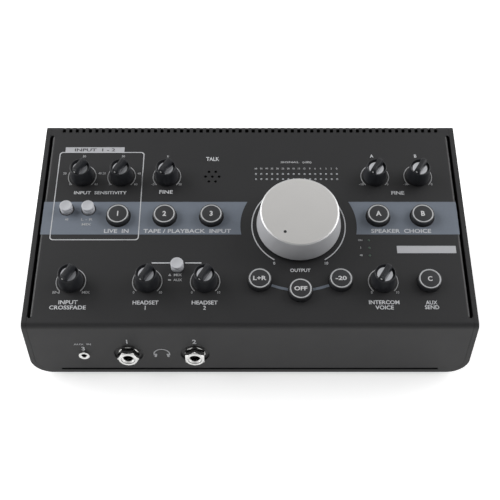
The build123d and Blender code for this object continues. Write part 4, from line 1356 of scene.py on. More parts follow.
@dataclass
class PanelPrint:
    """Everything that is printed on the control panel."""

    layout: Layout
    band_start: float = 69.2
    band_end: float = 95.7
    band_reach: float = 143.4
    band_cut: float = 40.0
    band_steps: int = 24
    ring_hole: float = 8.6
    push_hole: float = 5.15
    frame_box: Box = (-136.5, 65.0, -76.2, 138.0)
    frame_line: float = 0.65
    frame_corner: float = 2.4
    tab_box: Box = (-133.0, 137.9, -90.5, 142.6)
    tab_corner: float = 0.3
    strip_box: Box = (99.5, 54.5, 139.5, 60.2)
    strip_corner: float = 0.2
    ring_radius: float = 32.06
    ring_width: float = 0.75
    ring_gap: float = 32.0
    link_radius: float = 50.3
    link_width: float = 1.9
    link_ends: Point = (9.5, 22.3)
    dash_ends: tuple[Point, ...] = ((-66.0, -53.8), (-43.6, -32.5))
    dash_rows: Point = (46.5, 47.35)
    sign_left: float = 4.8
    sign_half: float = 1.0
    triangle_rows: Point = (-7.2, -5.3)
    bar_rows: Point = (-10.7, -9.7)
    number_rise: float = 4.6
    title_rise: float = 9.9
    number_left: float = 5.9

    def build(self) -> None:
        """Prints the band, the lines, the scales and the words."""
        self.print_band()
        self.print_labels()
        self.print_lines()
        self.print_words()

    def holes(self) -> list[tuple[Point, float]]:
        """Finds the holes that the band goes round.

        Returns:
            The middle and the radius of each.
        """
        spots = []
        for kind, radius in (("light_ring_", self.ring_hole), ("push_", self.push_hole)):
            for name in self.layout.frame["nodes"]:
                if name.startswith(kind):
                    spot = self.layout.crown_spot(name)
                    if self.band_start < spot.y < self.band_end:
                        spots.append(((spot.x, spot.y), radius))
        return spots

    def print_band(self) -> None:
        """Prints the blue-grey band, cut round the volume knob and the buttons."""
        layer = InkLayer()
        knob = self.layout.knob_spot("volume")
        first, last = self.link_ends
        for side in (-1, 1):
            edge = side * self.band_reach
            loop = [(edge, self.band_start)]
            for step in range(self.band_steps + 1):
                s = self.band_start + (self.band_end - self.band_start) * step / self.band_steps
                bow = math.sqrt(self.band_cut**2 - (s - knob[1]) ** 2)
                loop.append((knob[0] + side * bow, s))
            loop.append((edge, self.band_end))
            inner = [circle(*hole) for hole in self.holes() if (hole[0][0] - knob[0]) * side > 0]
            layer.outline(loop, *inner)
        # the links between the mono, mute and dim buttons
        for start, end in ((first, last), (-last, -first)):
            turns = (HALF_TURN_DEG + start, HALF_TURN_DEG + end)
            layer.arc(knob, self.link_radius, self.link_width, *turns)
        layer.make("band_print", self.layout.panel(h=INK_LIFT), Paint.BAND)

    def print_labels(self) -> None:
        """Prints the pale tab and the pale write-on strip."""
        pale, dark = InkLayer(), InkLayer()
        pale.outline(rounded_box(self.tab_box, self.tab_corner))
        pale.outline(rounded_box(self.strip_box, self.strip_corner))
        pale.make("label_print", self.layout.panel(h=INK_LIFT), Paint.LABEL)
        left, bottom, right, top = self.tab_box
        dark.legend(Legend("INPUT  1 - 2", (left + right) / 2, (bottom + top) / 2, 2.6, 29.0))
        dark.make("tab_words", self.layout.panel(h=2 * INK_LIFT), Paint.DARK_INK)

    def print_lines(self) -> None:
        """Prints the scale arcs, the ring round the volume knob, the frame and two dashes."""
        layer, scales = InkLayer(), InkLayer()
        for dial in DIALS:
            reach = HALF_TURN_DEG - dial.gap
            scales.arc(self.layout.knob_spot(dial.name), dial.radius, dial.width, -reach, reach)
        reach = HALF_TURN_DEG - self.ring_gap
        volume = self.layout.knob_spot("volume")
        layer.arc(volume, self.ring_radius, self.ring_width, -reach, reach)
        half = self.frame_line / 2
        x0, y0, x1, y1 = self.frame_box
        layer.outline(
            rounded_box((x0 - half, y0 - half, x1 + half, y1 + half), self.frame_corner),
            rounded_box((x0 + half, y0 + half, x1 - half, y1 - half), self.frame_corner - half),
        )
        for start, end in self.dash_ends:
            layer.bar(start, self.dash_rows[0], end, self.dash_rows[1])
        layer.make("line_print", self.layout.panel(h=2 * INK_LIFT), Paint.INK)
        scales.make("scale_print", self.layout.panel(h=2 * INK_LIFT), Paint.FINE_INK)

    def print_words(self) -> None:
        """Prints the words in one ink, and the small words and numbers in a finer one."""
        layer, small = InkLayer(), InkLayer()
        for dial in DIALS:
            spot = self.layout.knob_spot(dial.name)
            layer.legends((word for word in dial.words if word.height > NUMBER), *spot)
            small.legends((word for word in dial.words if word.height <= NUMBER), *spot)
        layer.legends(VOLUME_WORDS, *self.layout.knob_spot("volume"))
        for name, words in BUTTON_WORDS.items():
            layer.legends(words, *self.layout.crown_spot(f"light_ring_{name}").xy)
        for name, words in PUSH_WORDS.items():
            small.legends(words, *self.layout.crown_spot(f"push_{name}").xy)
        self.print_push_signs(small)
        for text, first, second, drop, size in (
            ("INPUT  SENSITIVITY", "gain_1", "gain_2", 13.7, (2.6, 37.0)),
            ("FINE", "trim_a", "trim_b", 13.8, (NAME, 9.0)),
        ):
            (x0, row), (x1, _) = (self.layout.knob_spot(name) for name in (first, second))
            layer.legend(Legend(text, (x0 + x1) / 2, row - drop, *size))
        microphone = self.layout.on_panel(sum(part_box("talkback_microphone"), Vector()) / 2)
        layer.legend(Legend("TALK", microphone.x, microphone.y + 15.2, 3.4, 9.4))
        self.print_meter_scale(small)
        layer.make("word_print", self.layout.panel(h=2 * INK_LIFT), Paint.INK)
        small.make("number_print", self.layout.panel(h=2 * INK_LIFT), Paint.FINE_INK)

    def print_push_signs(self, layer: InkLayer) -> None:
        """Prints a triangle and a bar beside the phones source's words.

        Args:
            layer: the fine ink.
        """
        spot = self.layout.crown_spot("push_phones_source")
        x = spot.x - self.sign_left
        left, right = x - self.sign_half, x + self.sign_half
        foot, tip = (spot.y + row for row in self.triangle_rows)
        layer.outline([(left, foot), (right, foot), (x, tip)])
        foot, top = (spot.y + row for row in self.bar_rows)
        layer.bar(left, foot, right, top)

    def print_meter_scale(self, layer: InkLayer) -> None:
        """Prints the numbers over the meter and beside the status lamps.

        Args:
            layer: the fine ink.
        """
        meter = Meter(self.layout)
        start, row = meter.first_column(), meter.upper_row()
        for column, value in enumerate(METER_SCALE):
            x = start + column * meter.pitch
            layer.legend(Legend(str(value), x, row + self.number_rise, TINY))
        middle = start + meter.pitch * (meter.columns - 1) / 2
        layer.legend(Legend("SIGNAL  (dB)", middle, row + self.title_rise, 2.1, 22.0))
        lamps = self.layout.on_panel(sum(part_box("status_lamps"), Vector()) / 2)
        for word, step in (("ON", 1), ("3", 0), ("48", -1)):
            lamp_row = meter.status_row + step * meter.status_gap
            layer.legend(Legend(word, lamps.x - self.number_left, lamp_row, TINY))


@dataclass
class FrontPrint:
    """Numbers and the headphone sign on the front face."""

    layout: Layout
    bold: float = 0.03
    cup_box: Box = (-0.75, -1.9, 0.75, 1.9)
    cup_corner: float = 0.6
    cup_reach: float = 4.1
    cup_drop: float = 1.9
    cup_lean: float = 10.0
    band_radius: float = 5.2
    band_width: float = 0.8
    band_drop: float = 0.4
    band_turn: float = 104.0
    sign_rise: float = 0.6

    def build(self) -> None:
        """Prints the front face."""
        layer = InkLayer()
        first, second, small = (
            self.on_face(jack) for jack in ("phones_jack_1", "phones_jack_2", "mini_jack_in")
        )
        for number, spot, rise, height in (
            ("1", first, 13.8, 4.5),
            ("2", second, 13.8, 4.5),
            ("3", small, 6.2, 4.3),
        ):
            layer.legend(Legend(number, spot.x, spot.z + rise, height), bold=self.bold)
        layer.legend(Legend("AUX  IN", small.x, small.z + 11.0, 1.7, 11.5))
        self.print_headphones(layer, (first.x + second.x) / 2, first.z + self.sign_rise)
        layer.make("front_print", self.layout.front(), Paint.INK)

    def on_face(self, mount: str) -> Vector:
        """Place of a mount on the front face, in millimetres from the chassis's underside."""
        spot = self.layout.mount(mount).to_translation()
        return Vector((spot.x, spot.y, spot.z - self.layout.floor)) / MM

    def print_headphones(self, layer: InkLayer, x: float, z: float) -> None:
        """Prints a headband and two ear cups.

        Args:
            layer: the ink.
            x: the sign's middle, across.
            z: the sign's middle, above the chassis's underside.
        """
        turn = self.band_turn
        layer.arc((x, z - self.band_drop), self.band_radius, self.band_width, -turn, turn)
        for side in (-1, 1):
            lean = Matrix.Rotation(math.radians(side * self.cup_lean), 2)
            middle = Vector((x + side * self.cup_reach, z - self.cup_drop))
            cup = rounded_box(self.cup_box, self.cup_corner)
            layer.outline([tuple(middle + lean @ Vector(point)) for point in cup])


# ---------------------------------------------------------------- knobs
@dataclass
class PointerKnob:
    """Small pointer knob: a cup with a silver floor, a ribbed grip across it and a white dot."""

    layout: Layout
    name: str
    skirt_gap: float = 0.6
    shaft_radius: float = 2.98
    shaft_foot: float = -7.5
    base_radius: float = 8.3
    rim: float = 1.5
    shoulder: float = 12.0
    shoulder_radius: float = 6.85
    bowl_radius: float = 6.4
    bowl_floor: float = 10.4
    floor_radius: float = 5.1
    floor_skin: float = 0.05
    top_height: float = 16.2
    grip_end: float = 6.2
    grip_crown: float = 5.3
    grip_width: float = 2.9
    grip_foot: float = 5.0
    overlap: float = 1.0
    edge: float = 0.18
    edge_bend: float = 28.0
    rib_height: float = 0.16
    rib_root: float = 0.1
    rib_edge: float = 0.08
    rib_margin: float = 0.1
    rib_pitch: float = 0.66
    rib_share: float = 0.56
    rib_count: int = 14
    dot_radius: float = 0.66
    dot_rise: float = 0.1
    dot_foot: float = -0.3
    dot_height: float = 13.0

    def build(self) -> None:
        """Makes the knob in place of its node."""
        node, body = f"knob_{self.name}", f"{self.name}_control"
        place = self.layout.knob(self.name)
        for part, mesh, *paints in (
            ("cap", self.cap_mesh(), Paint.KNOB, Paint.SCOOP),
            ("ribs", self.rib_mesh(), Paint.GRIP),
            ("dot", self.dot_mesh(), Paint.DOT),
        ):
            materials = (paint.material() for paint in paints)
            piece = add_piece(f"{node}_{part}", mesh, place, body, *materials)
            if part == "cap":
                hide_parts(node)

    @property
    def crown(self) -> float:
        """Height of the grip under its ribs."""
        return self.top_height - self.rib_height

    def cap_mesh(self) -> Mesh:
        """Makes the cup and the shaft, with the grip standing across the bowl.

        Returns:
            The mesh, whose second material is on the bowl's floor.
        """
        profile = rounded(
            [
                (0.0, self.shaft_foot),
                (self.shaft_radius, self.shaft_foot),
                (self.shaft_radius, self.skirt_gap),
                (self.base_radius, self.skirt_gap, 0.2),
                (self.base_radius, self.rim, 0.5),
                (self.shoulder_radius, self.shoulder, 0.2),
                (self.bowl_radius, self.shoulder, 0.15),
                (self.floor_radius, self.bowl_floor, 0.1),
                (0.0, self.bowl_floor),
            ]
        )
        grip = self.grip_mesh()
        cap = modified(turned_mesh(profile), "BOOLEAN", grip, operation="UNION", solver="EXACT")
        self.mark_floor(cap)
        smooth(cap, 35.0)
        return cap

    def grip_mesh(self) -> Mesh:
        """Makes the grip: a cone as wide as its ends, cut to two leaning sides.

        Returns:
            The mesh.
        """
        foot = self.bowl_floor - self.overlap
        ends = [(self.grip_end, foot), (self.grip_end, self.shoulder), (self.grip_crown, self.crown)]
        grip = turned_mesh([(0.0, foot), *ends, (0.0, self.crown)])
        reach = self.base_radius + self.overlap
        lean = (self.grip_foot - self.grip_width) / 2 / (self.top_height - self.bowl_floor)
        high, low = self.top_height + self.overlap, self.bowl_floor - 2 * self.overlap
        for side in (-1, 1):
            outline = [
                (side * (self.grip_width / 2 - lean * self.overlap), high),
                (side * (self.grip_foot / 2 + lean * 2 * self.overlap), low),
                (side * reach, low),
                (side * reach, high),
            ]
            grip = cut(grip, extruded(outline, -reach, reach))
        return break_edges(grip, self.edge, angle=self.edge_bend)

    def mark_floor(self, mesh: Mesh) -> None:
        """Gives the bowl's floor the second material.

        Args:
            mesh: the cap.
        """
        mesh.materials.clear()
        for finish in (Paint.KNOB, Paint.SCOOP):
            mesh.materials.append(finish.material())
        for face in mesh.polygons:
            low = abs(face.center.z - self.bowl_floor) < self.floor_skin
            face.material_index = int(low and face.normal.z > 0.9)

    def rib_mesh(self) -> Mesh:
        """Makes the fine ribs across the grip.

        Returns:
            The mesh.
        """
        half = self.grip_width / 2 - self.edge - self.rib_margin
        root = self.crown - self.rib_root
        top = [(-half, self.top_height, self.rib_edge), (half, self.top_height, self.rib_edge)]
        reach = self.rib_pitch * self.rib_share / 2
        rib = extruded(rounded([(-half, root), *top, (half, root)], 2), -reach, reach)
        return repeated("ribs", rib, (1, self.rib_count), (0.0, self.rib_pitch), Paint.GRIP)

    def dot_mesh(self) -> Mesh:
        """Makes the white dot on the pointer's end, lying on its slope.

        Returns:
            The mesh.
        """
        slope = (self.grip_end - self.grip_crown) / (self.crown - self.shoulder)
        radius = self.grip_end - slope * (self.dot_height - self.shoulder)
        lean = Matrix.Rotation(FULL_TURN / 4 - math.atan(slope), 4, "X")
        dot = dome(self.dot_radius, self.dot_rise, self.dot_foot, 32)
        dot.transform(Matrix.Translation((0.0, -radius, self.dot_height)) @ lean)
        smooth(dot)
        return dot


@dataclass
class VolumeKnob:
    """Big turned knob: a satin top, a bright-cut bevel, a lined side and a pointer dimple coloured
    dark as painted shade.
    """

    layout: Layout
    gap: float = 2.0
    height: float = 18.4
    base_radius: float = 28.9
    side_radius: float = 26.5
    top_radius: float = 25.6
    bevel: float = 0.4
    cavity_radius: float = 25.0
    cavity: float = 12.2
    pointer_radius: float = 19.0
    pointer_size: float = 1.1
    pointer_depth: float = 0.6
    drill_rise: float = 0.5
    top_skin: float = 0.01
    hollow_skin: float = 0.1

    def build(self) -> None:
        """Makes the shell in place of its node, and dresses what it sits on."""
        place = self.layout.knob("volume")
        low, high = self.height - self.pointer_depth, self.height + self.drill_rise
        flanks = [
            (self.pointer_size - self.pointer_depth, low),
            (self.pointer_size + self.drill_rise, high),
        ]
        drill = turned_mesh([(0.0, low), *flanks, (0.0, high)], 32)
        drill.transform(Matrix.Translation((0.0, -self.pointer_radius, 0.0)))
        shell = cut(turned_mesh(self.profile(), 256), drill)
        smooth(shell, 20.0)
        metals = [finish.material(place) for finish in (SATIN_TOP, BRIGHT_CUT, LINED_SIDE)]
        paints = (*metals, Paint.KNOB.material())
        self.share_finishes(shell, paints)
        piece = add_piece("volume_shell", shell, place, "volume_control", *paints)
        stand_in("volume_knob", "turned_aluminium")
        dress(self.layout.frame, Paint.SOCKET, "volume_insert")
        dress(self.layout.frame, Paint.SHELL, "volume_shaft")

    def share_finishes(self, mesh: Mesh, paints: Iterable[Material]) -> None:
        """Gives the top, the bevel and the side their finishes, and the dimple a dark colour that is
        painted shade.

        Args:
            mesh: the shell.
            paints: the four materials, in that order.
        """
        mesh.materials.clear()
        for paint in paints:
            mesh.materials.append(paint)
        top, bevel, side, hollow = range(4)
        pointer = Vector((0.0, -self.pointer_radius))
        hollow_foot = self.height - self.pointer_depth - self.hollow_skin
        for face in mesh.polygons:
            middle, above = face.center, face.normal.z > 0.5
            dimple = (middle.xy - pointer).length < self.pointer_size
            # Painted shade: the dimple's walls and floor take the dark knob moulding.
            if dimple and middle.z > hollow_foot:
                face.material_index = top if middle.z > self.height - self.top_skin else hollow
            elif middle.xy.length > self.top_radius and above:
                face.material_index = bevel
            else:
                face.material_index = top if above else side

    def profile(self) -> list[Point]:
        """Draws the shell's section.

        Returns:
            Its points, from the cavity's ceiling round to the top.
        """
        ceiling = self.gap + self.cavity
        return rounded(
            [
                (0.0, ceiling),
                (self.cavity_radius, ceiling),
                (self.cavity_radius, self.gap, 0.3),
                (self.base_radius, self.gap, 0.3),
                (self.side_radius, self.height - self.bevel, 0.08),
                (self.top_radius, self.height, 0.08),
                (0.0, self.height),
            ]
        )


# ---------------------------------------------------------------- buttons
@dataclass
class LitButton:
    """Round button with a translucent ring and a printed cap."""

    layout: Layout
    name: str
    caption: Legend
    radius: float = 7.75
    height: float = 4.2
    edge: float = 0.225
    ring_outer: float = 7.2
    ring_inner: float = 6.3
    ring_depth: float = 1.2
    ring_proud: float = 0.05
    ring_crown: float = 0.16
    lip_radius: float = 8.6
    lip_top: float = -1.7
    lip_bottom: float = -2.6
    wall: float = 1.15
    ceiling: float = 2.3
    stem_radius: float = 1.8
    stem_foot: float = -5.6
    bold: float = 0.03

    def build(self) -> None:
        """Makes the button in place of its nodes."""
        spot = self.layout.crown_spot(f"light_ring_{self.name}")
        place = self.layout.panel(spot.x, spot.y)
        body = f"{self.name}_button"
        for part, profile, paint, node, slot in (
            ("cap", self.profile(), Paint.BUTTON, "button", "button_plastic"),
            ("ring", self.ring_profile(), Paint.RING, "light_ring", "light_ring"),
        ):
            mesh = turned_mesh(profile)
            smooth(mesh)
            piece = add_piece(f"button_{self.name}_{part}", mesh, place, body, paint.material())
            stand_in(f"{node}_{self.name}", slot)
        layer = InkLayer()
        layer.legend(self.caption, bold=self.bold)
        on_top = self.layout.panel(spot.x, spot.y, self.height + INK_LIFT)
        layer.make(f"button_{self.name}_word", on_top, Paint.CAPTION, body)

    def profile(self) -> list[Point]:
        """Draws the cap's section, with the ring's groove.

        Returns:
            Its points, from the stem round to the top.
        """
        skirt, groove = self.radius - self.wall, self.height - self.ring_depth
        return rounded(
            [
                (0.0, self.stem_foot),
                (self.stem_radius, self.stem_foot, 0.3),
                (self.stem_radius, self.ceiling),
                (skirt, self.ceiling),
                (skirt, self.lip_bottom),
                (self.lip_radius, self.lip_bottom, 0.2),
                (self.lip_radius, self.lip_top, 0.2),
                (self.radius, self.lip_top),
                (self.radius, self.height, self.edge),
                (self.ring_outer, self.height),
                (self.ring_outer, groove),
                (self.ring_inner, groove),
                (self.ring_inner, self.height, 0.08),
                (0.0, self.height),
            ]
        )

    def ring_profile(self) -> list[Point]:
        """Draws the ring's section, with a softly crowned top.

        Returns:
            Its points, from the inner foot round to it again.
        """
        foot, crown = self.height - self.ring_depth, self.height + self.ring_proud
        inner = (self.ring_inner, foot)
        top = [(radius, crown, self.ring_crown) for radius in (self.ring_outer, self.ring_inner)]
        return rounded([inner, (self.ring_outer, foot), *top, inner])


CAPTIONS = {
    "source_1": Legend("1", height=4.0),
    "source_2": Legend("2", height=4.0),
    "source_3": Legend("3", height=4.0),
    "monitor_a": Legend("A", height=4.0),
    "monitor_b": Legend("B", height=4.0),
    "mono": Legend("L+R", height=3.2, width=8.8),
    "mute": Legend("OFF", height=3.2, width=8.6),
    "dim": Legend("-20", height=3.2, width=7.4),
    "cue": Legend("C", height=3.6),
}


@dataclass
class PushButton:
    """Small latching push button with a dished head on a neck."""

    layout: Layout
    name: str
    height: float = 5.2
    radius: float = 4.3
    head: float = 1.3
    neck_radius: float = 3.2
    neck: float = 1.3
    edge: float = 0.4
    bend: float = 0.15
    dish: float = 0.35
    dish_steps: int = 8
    collar_foot: float = -1.5
    stem_radius: float = 1.7
    stem_foot: float = -4.4

    def build(self) -> None:
        """Makes the button in place of its node."""
        node = f"push_{self.name}"
        spot = self.layout.crown_spot(node, 0.2)
        mesh = turned_mesh(self.profile())
        smooth(mesh)
        place = self.layout.panel(spot.x, spot.y)
        piece = add_piece(f"{node}_cap", mesh, place, f"{self.name}_push", Paint.PUSH.material())
        stand_in(node, "push_cap")

    def profile(self) -> list[Point]:
        """Draws the section of the stem, the collar, the neck and the head.

        Returns:
            Its points, from the stem's foot round to the dish's middle.
        """
        under = self.height - self.head
        waist = under - self.neck
        rim = self.radius - 2 * self.edge
        line = rounded(
            [
                (0.0, self.stem_foot),
                (self.stem_radius, self.stem_foot),
                (self.stem_radius, self.collar_foot),
                (self.radius, self.collar_foot, self.bend),
                (self.radius, waist, 0.2),
                (self.neck_radius, waist, self.bend),
                (self.neck_radius, under, self.bend),
                (self.radius, under, self.bend),
                (self.radius, self.height, self.edge),
                (rim, self.height),
            ]
        )
        for step in range(1, self.dish_steps + 1):
            share = 1 - step / self.dish_steps
            line.append((rim * share, self.height - self.dish * (1 - share * share)))
        return line


# ---------------------------------------------------------------- lamps
@dataclass
class Meter:
    """Two rows of meter lamps and three status lamps, with domed lenses."""

    layout: Layout
    columns: int = 16
    pitch: float = 3.835
    row_gap: float = 4.4
    lens_radius: float = 0.73
    lens_rise: float = 0.3
    lens_foot: float = -0.4
    sunk: float = 0.1
    status_row: float = 58.8
    status_gap: float = 5.9

    def first_column(self) -> float:
        """Column of the first lamp."""
        low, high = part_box("meter_lamps")
        return (low.x + high.x) / 2 / MM - self.pitch * (self.columns - 1) / 2

    def upper_row(self) -> float:
        """Row of the upper lamps."""
        return self.layout.crown_spot("meter_lamps").y + self.row_gap / 2

    def build(self) -> None:
        """Adds the lenses and dresses the lamps behind them."""
        for name, grid, pitches, paint in (
            ("meter", (self.columns, 2), (self.pitch, self.row_gap), Paint.LENS),
            ("status", (1, 3), (0.0, self.status_gap), Paint.GREEN_LENS),
        ):
            spot = self.layout.crown_spot(f"{name}_lamps")
            lens = dome(self.lens_radius, self.lens_rise, self.lens_foot, 20)
            lenses = repeated(f"{name}_lenses", lens, grid, pitches, paint)
            place = self.layout.panel(spot.x, spot.y, -self.sunk)
            piece = add_piece(f"{name}_lenses", lenses, place, "case", paint.material())
            dress(self.layout.frame, paint, f"{name}_lamps")


# ---------------------------------------------------------------- sockets
@dataclass
class Sockets:
    """Jacks with plated nuts and bushings, and the rear sockets with their contacts."""

    layout: Layout
    nut_edge: float = 0.25
    body_edge: float = 0.2
    bushing_bore: float = 3.21
    bushing_radius: float = 4.66
    bushing_length: float = 6.9
    bushing_front: float = 0.82
    bushing_edge: float = 0.2
    mouth: float = 0.8
    nose_bore: float = 1.78
    nose_mouth: float = 2.13
    nose_outer: float = 2.86
    nose_front: float = 0.37
    nose_wall: float = 0.1
    contact_inner: float = 1.05
    contact_outer: float = 1.37
    contact_circle: float = 5.6
    contact_top: float = -0.6
    contact_foot: float = -8.9

    def build(self) -> None:
        """Finishes the jacks and the sockets."""
        frame = self.layout.frame
        refined(frame, "jack_nuts", self.nut_edge, Paint.PLATE, "plated_nuts", steps=3)
        for node in ("headphone_jacks", "line_jacks", "mini_jack", "combo_jacks", "power_inlet"):
            refined(frame, node, self.body_edge, Paint.SOCKET, "black_moulding")
        refined(frame, "usb_socket", self.body_edge, Paint.SHELL, "socket_shell")
        sleeve = turned_ring(self.sleeve_profile(), 24)
        values = {"Count": 3, "Radius": self.contact_circle, "Material": Paint.BRASS.material()}
        sleeves = run_tree("sleeves", sleeve, circle_tree(), values)
        sleeves.transform(Matrix.Rotation(FULL_TURN / 4, 4, "Z"))
        bushing = turned_ring(self.bushing_profile(), 48)
        nose = turned_ring(self.nose_profile(), 48)
        self.add_copies("jack_bushings", bushing, Paint.PLATE, "phones", "line", "foot", "out")
        self.add_copies("mini_nose", nose, Paint.PLATE, "mini")
        self.add_copies("combo_contacts", sleeves, Paint.BRASS, "combo")

    def add_copies(self, name: str, mesh: Mesh, paint: Paint, *kinds: str) -> None:
        """Puts one copy of a fitting into each bore of some kinds, as a single piece.

        Args:
            name: the piece's name.
            mesh: the fitting, drawn about the bore's mouth.
            paint: the fitting's finish.
            kinds: how the names of those bores start.
        """
        smooth(mesh)
        copies = []
        for mount in self.layout.frame["record"]["mounts"]:
            if mount["kind"] == "bore" and mount["name"].startswith(kinds):
                copies.append(mesh.copy())
                copies[-1].transform(self.layout.mount(mount["name"]))
        piece = add_piece(name, merged(copies), Matrix.Identity(4), "case", paint.material())

    def bushing_profile(self) -> list[Point]:
        """Draws the section of a bushing's wall, with its chamfered mouth.

        Returns:
            Its points.
        """
        return [
            (self.bushing_bore, -self.bushing_length),
            (self.bushing_radius, -self.bushing_length),
            (self.bushing_radius, self.bushing_front - self.bushing_edge),
            (self.bushing_radius - self.bushing_edge, self.bushing_front),
            (self.bushing_bore + self.mouth, self.bushing_front),
            (self.bushing_bore, self.bushing_front - self.mouth),
        ]

    def nose_profile(self) -> list[Point]:
        """Draws the section of the plated face and chamfer round the small jack's bore.

        Returns:
            Its points.
        """
        back = self.nose_front - self.nose_wall
        return [
            (self.nose_bore, -self.nose_wall),
            (self.nose_bore + self.nose_wall, -self.nose_wall),
            (self.nose_mouth + self.nose_wall, back),
            (self.nose_outer, back),
            (self.nose_outer, self.nose_front),
            (self.nose_mouth, self.nose_front),
            (self.nose_bore, 0.0),
        ]

    def sleeve_profile(self) -> list[Point]:
        """Draws the section of a brass contact sleeve, below the mouth of its hole.

        Returns:
            Its points.
        """
        return [
            (self.contact_inner, self.contact_foot),
            (self.contact_outer, self.contact_foot),
            (self.contact_outer, self.contact_top),
            (self.contact_inner, self.contact_top),
        ]


@dataclass
class PowerSwitch:
    """Rocker switch with its on and off signs."""

    layout: Layout
    edge: float = 0.25
    face: float = 3.4
    sign_height: float = 3.4
    sign_row: float = 3.5

    def build(self) -> None:
        """Finishes the switch and prints a sign on each half of the rocker."""
        for node, body in (("power_switch", "case"), ("power_rocker", "power_control")):
            refined(self.layout.frame, node, self.edge, Paint.SOCKET, "black_moulding", body)
        throw = math.radians(self.layout.joints["rock_power"]["range_deg"][1])
        for name, text, side, lean in (("on", "I", 1, 0.0), ("off", "O", -1, -throw)):
            layer = InkLayer()
            layer.legend(Legend(text, y=side * self.sign_row, height=self.sign_height))
            layer.make(f"rocker_{name}_sign", self.half_face(lean), Paint.INK, "power_control")

    def half_face(self, lean: float) -> Matrix:
        """Place over the pivot on the rocker's half that leans back.

        Args:
            lean: by how much, in radians.

        Returns:
            The place.
        """
        pivot = Vector(self.layout.joints["rock_power"]["pos_m"])
        tilt = Matrix.Rotation(lean, 3, "X")
        over_pivot = Matrix.Translation((0.0, 0.0, self.face + INK_LIFT))
        return placed(pivot, -ACROSS, tilt @ ABOVE, tilt @ BACK) @ over_pivot


@dataclass
class Electronics:
    """Boards, switches, controls and the ribbon cable inside the case."""

    layout: Layout

    def build(self) -> None:
        """Dresses the inner nodes."""
        for paint, nodes in (
            (Paint.BOARD, ("control_board", "main_board")),
            (Paint.BRASS, ("board_standoffs",)),
            (Paint.BODY, ("pot_bodies", "button_switches", "latch_switches")),
            (Paint.SHELL, ("talkback_microphone",)),
            (Paint.SOCKET, ("ribbon_headers",)),
            (Paint.RIBBON, ("ribbon_cable",)),
        ):
            dress(self.layout.frame, paint, *nodes)


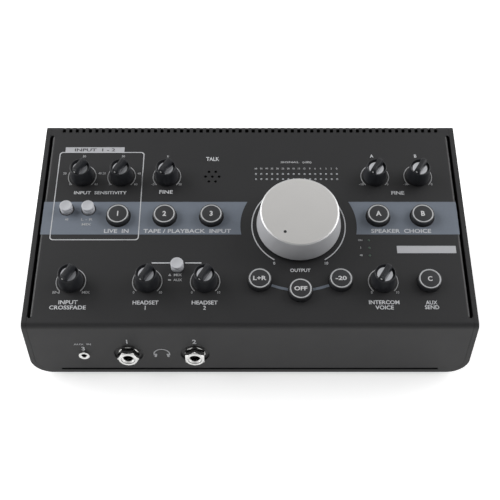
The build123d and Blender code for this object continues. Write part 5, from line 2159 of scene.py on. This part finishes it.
# ---------------------------------------------------------------- studio
@dataclass
class Studio:
    """Pale floor, soft lamps, a camera, and white surroundings that are dimmer overhead."""

    floor_size: float = 12.0
    floor_colour: Colour = (0.86, 0.86, 0.86)
    floor_roughness: float = 0.9
    floor_lift: float = 0.6
    fade_start: float = 0.3
    fade_end: float = 1.6
    lamp_place: tuple[float, float, float] = (2.2, 0.6, 1.1)
    lamp_size: float = 2.2
    left_power: float = 74.0
    right_power: float = 60.0
    ambient: float = 0.27
    dim_side: tuple[float, float, float] = (0.0, -0.34, 0.94)
    dimming: float = 0.72
    camera_y: float = -0.44943
    camera_z: float = 0.53191
    camera_lean: float = 42.415
    lens: float = 67.086

    def build(self) -> None:
        """Sets the stage."""
        self.add_floor()
        self.add_surroundings()
        self.add_lamp("left", -1, self.left_power)
        self.add_lamp("right", 1, self.right_power)
        self.add_camera()
        bpy.context.scene.view_settings.view_transform = "Standard"

    def add_floor(self) -> None:
        """Adds the floor that the object stands on."""
        half = self.floor_size / 2
        mesh = bpy.data.meshes.new("floor")
        corners = [(-half, -half, 0.0), (half, -half, 0.0), (half, half, 0.0), (-half, half, 0.0)]
        mesh.from_pydata(corners, [], [(0, 1, 2, 3)])
        material, sheet, shader, place = start_material("floor_white")
        shader["Base Color"].default_value = (*self.floor_colour, 1.0)
        shader["Roughness"].default_value = self.floor_roughness
        shader["Emission Color"].default_value = WHITE
        # Painted shade: the floor's glow, seen by the camera and in reflections, is weaker near the
        # object than far from it, so the floor round the object is darker.
        away = sheet.add("ShaderNodeVectorMath", operation="LENGTH")
        sheet.link(place, away.inputs[0])
        reach = {"From Min": self.fade_start, "From Max": self.fade_end}
        lift = {"To Min": self.floor_lift, "To Max": 1.0}
        fade = sheet.add("ShaderNodeMapRange", reach | lift)
        sheet.link(away.outputs["Value"], fade.inputs["Value"])
        share = self.seen_share(sheet, "Camera")
        lifted = sheet.math("MULTIPLY", share, fade.outputs["Result"])
        sheet.link(lifted, shader["Emission Strength"])
        mesh.materials.append(material)
        add_object("floor", mesh)

    def add_surroundings(self) -> None:
        """Makes the world white to the eye and to reflections, and softer as a light."""
        world = bpy.data.worlds.new("surroundings")
        bpy.context.scene.world = world
        world.use_nodes = True
        sheet = Sheet(world.node_tree)
        world.node_tree.nodes.clear()
        share = sheet.math("MULTIPLY_ADD", self.seen_share(sheet), 1.0 - self.ambient, self.ambient)
        toward = sheet.add("ShaderNodeVectorMath", {1: self.dim_side}, operation="DOT_PRODUCT")
        sheet.link(sheet.add("ShaderNodeTexCoord").outputs["Generated"], toward.inputs[0])
        facing = sheet.math("MAXIMUM", toward.outputs["Value"], 0.0)
        dim = sheet.math("MULTIPLY", sheet.math("POWER", facing, 2.0), -self.dimming)
        share = sheet.math("MULTIPLY", share, sheet.math("ADD", dim, 1.0))
        seen = sheet.add("ShaderNodeLightPath").outputs["Is Camera Ray"]
        share = sheet.math("MAXIMUM", share, seen)
        back = sheet.add("ShaderNodeBackground", {"Color": WHITE})
        sheet.link(share, back.inputs["Strength"])
        out = sheet.add("ShaderNodeOutputWorld")
        sheet.link(back.outputs[0], out.inputs["Surface"])

    def seen_share(self, sheet: Sheet, *kinds: str) -> NodeSocket:
        """Value that is 1 on rays that show what they meet, apart from plain light.

        Args:
            sheet: the material's or the world's sheet.
            kinds: kinds of ray besides those of metal and glass.

        Returns:
            The value's socket.
        """
        rays = sheet.add("ShaderNodeLightPath").outputs
        share = rays["Is Glossy Ray"]
        for kind in ("Transmission", *kinds):
            share = sheet.math("MAXIMUM", share, rays[f"Is {kind} Ray"])
        return share

    def add_lamp(self, name: str, side: int, power: float) -> None:
        """Adds a square area lamp aimed at the object.

        Args:
            name: the lamp's name.
            side: -1 for the left, 1 for the right.
            power: its power, in watts.
        """
        light = bpy.data.lights.new(name, "AREA")
        light.shape = "SQUARE"
        light.size = self.lamp_size
        light.energy = power
        lamp = add_object(name, light)
        lamp.location = (side * self.lamp_place[0], *self.lamp_place[1:])
        lamp.rotation_euler = (-lamp.location).to_track_quat("-Z", "Y").to_euler()

    def add_camera(self) -> None:
        """Adds the camera."""
        data = bpy.data.cameras.new("camera")
        data.lens = self.lens
        camera = add_object("camera", data)
        camera.location = (0.0, self.camera_y, self.camera_z)
        camera.rotation_euler = (math.radians(self.camera_lean), 0.0, 0.0)
        bpy.context.scene.camera = camera


def main() -> None:
    """Builds the scene."""
    logging.basicConfig(level=logging.INFO, format="%(name)s: %(message)s")
    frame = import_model()
    layout = Layout(frame)
    Studio().build()
    for assembly in (Casing, PanelPrint, FrontPrint, VolumeKnob):
        assembly(layout).build()
    for dial in DIALS:
        PointerKnob(layout, dial.name).build()
    for name, caption in CAPTIONS.items():
        LitButton(layout, name, caption).build()
    for name in PUSH_WORDS:
        PushButton(layout, name).build()
    for assembly in (Meter, Sockets, PowerSwitch, Electronics):
        assembly(layout).build()


if __name__ == "__main__":
    main()
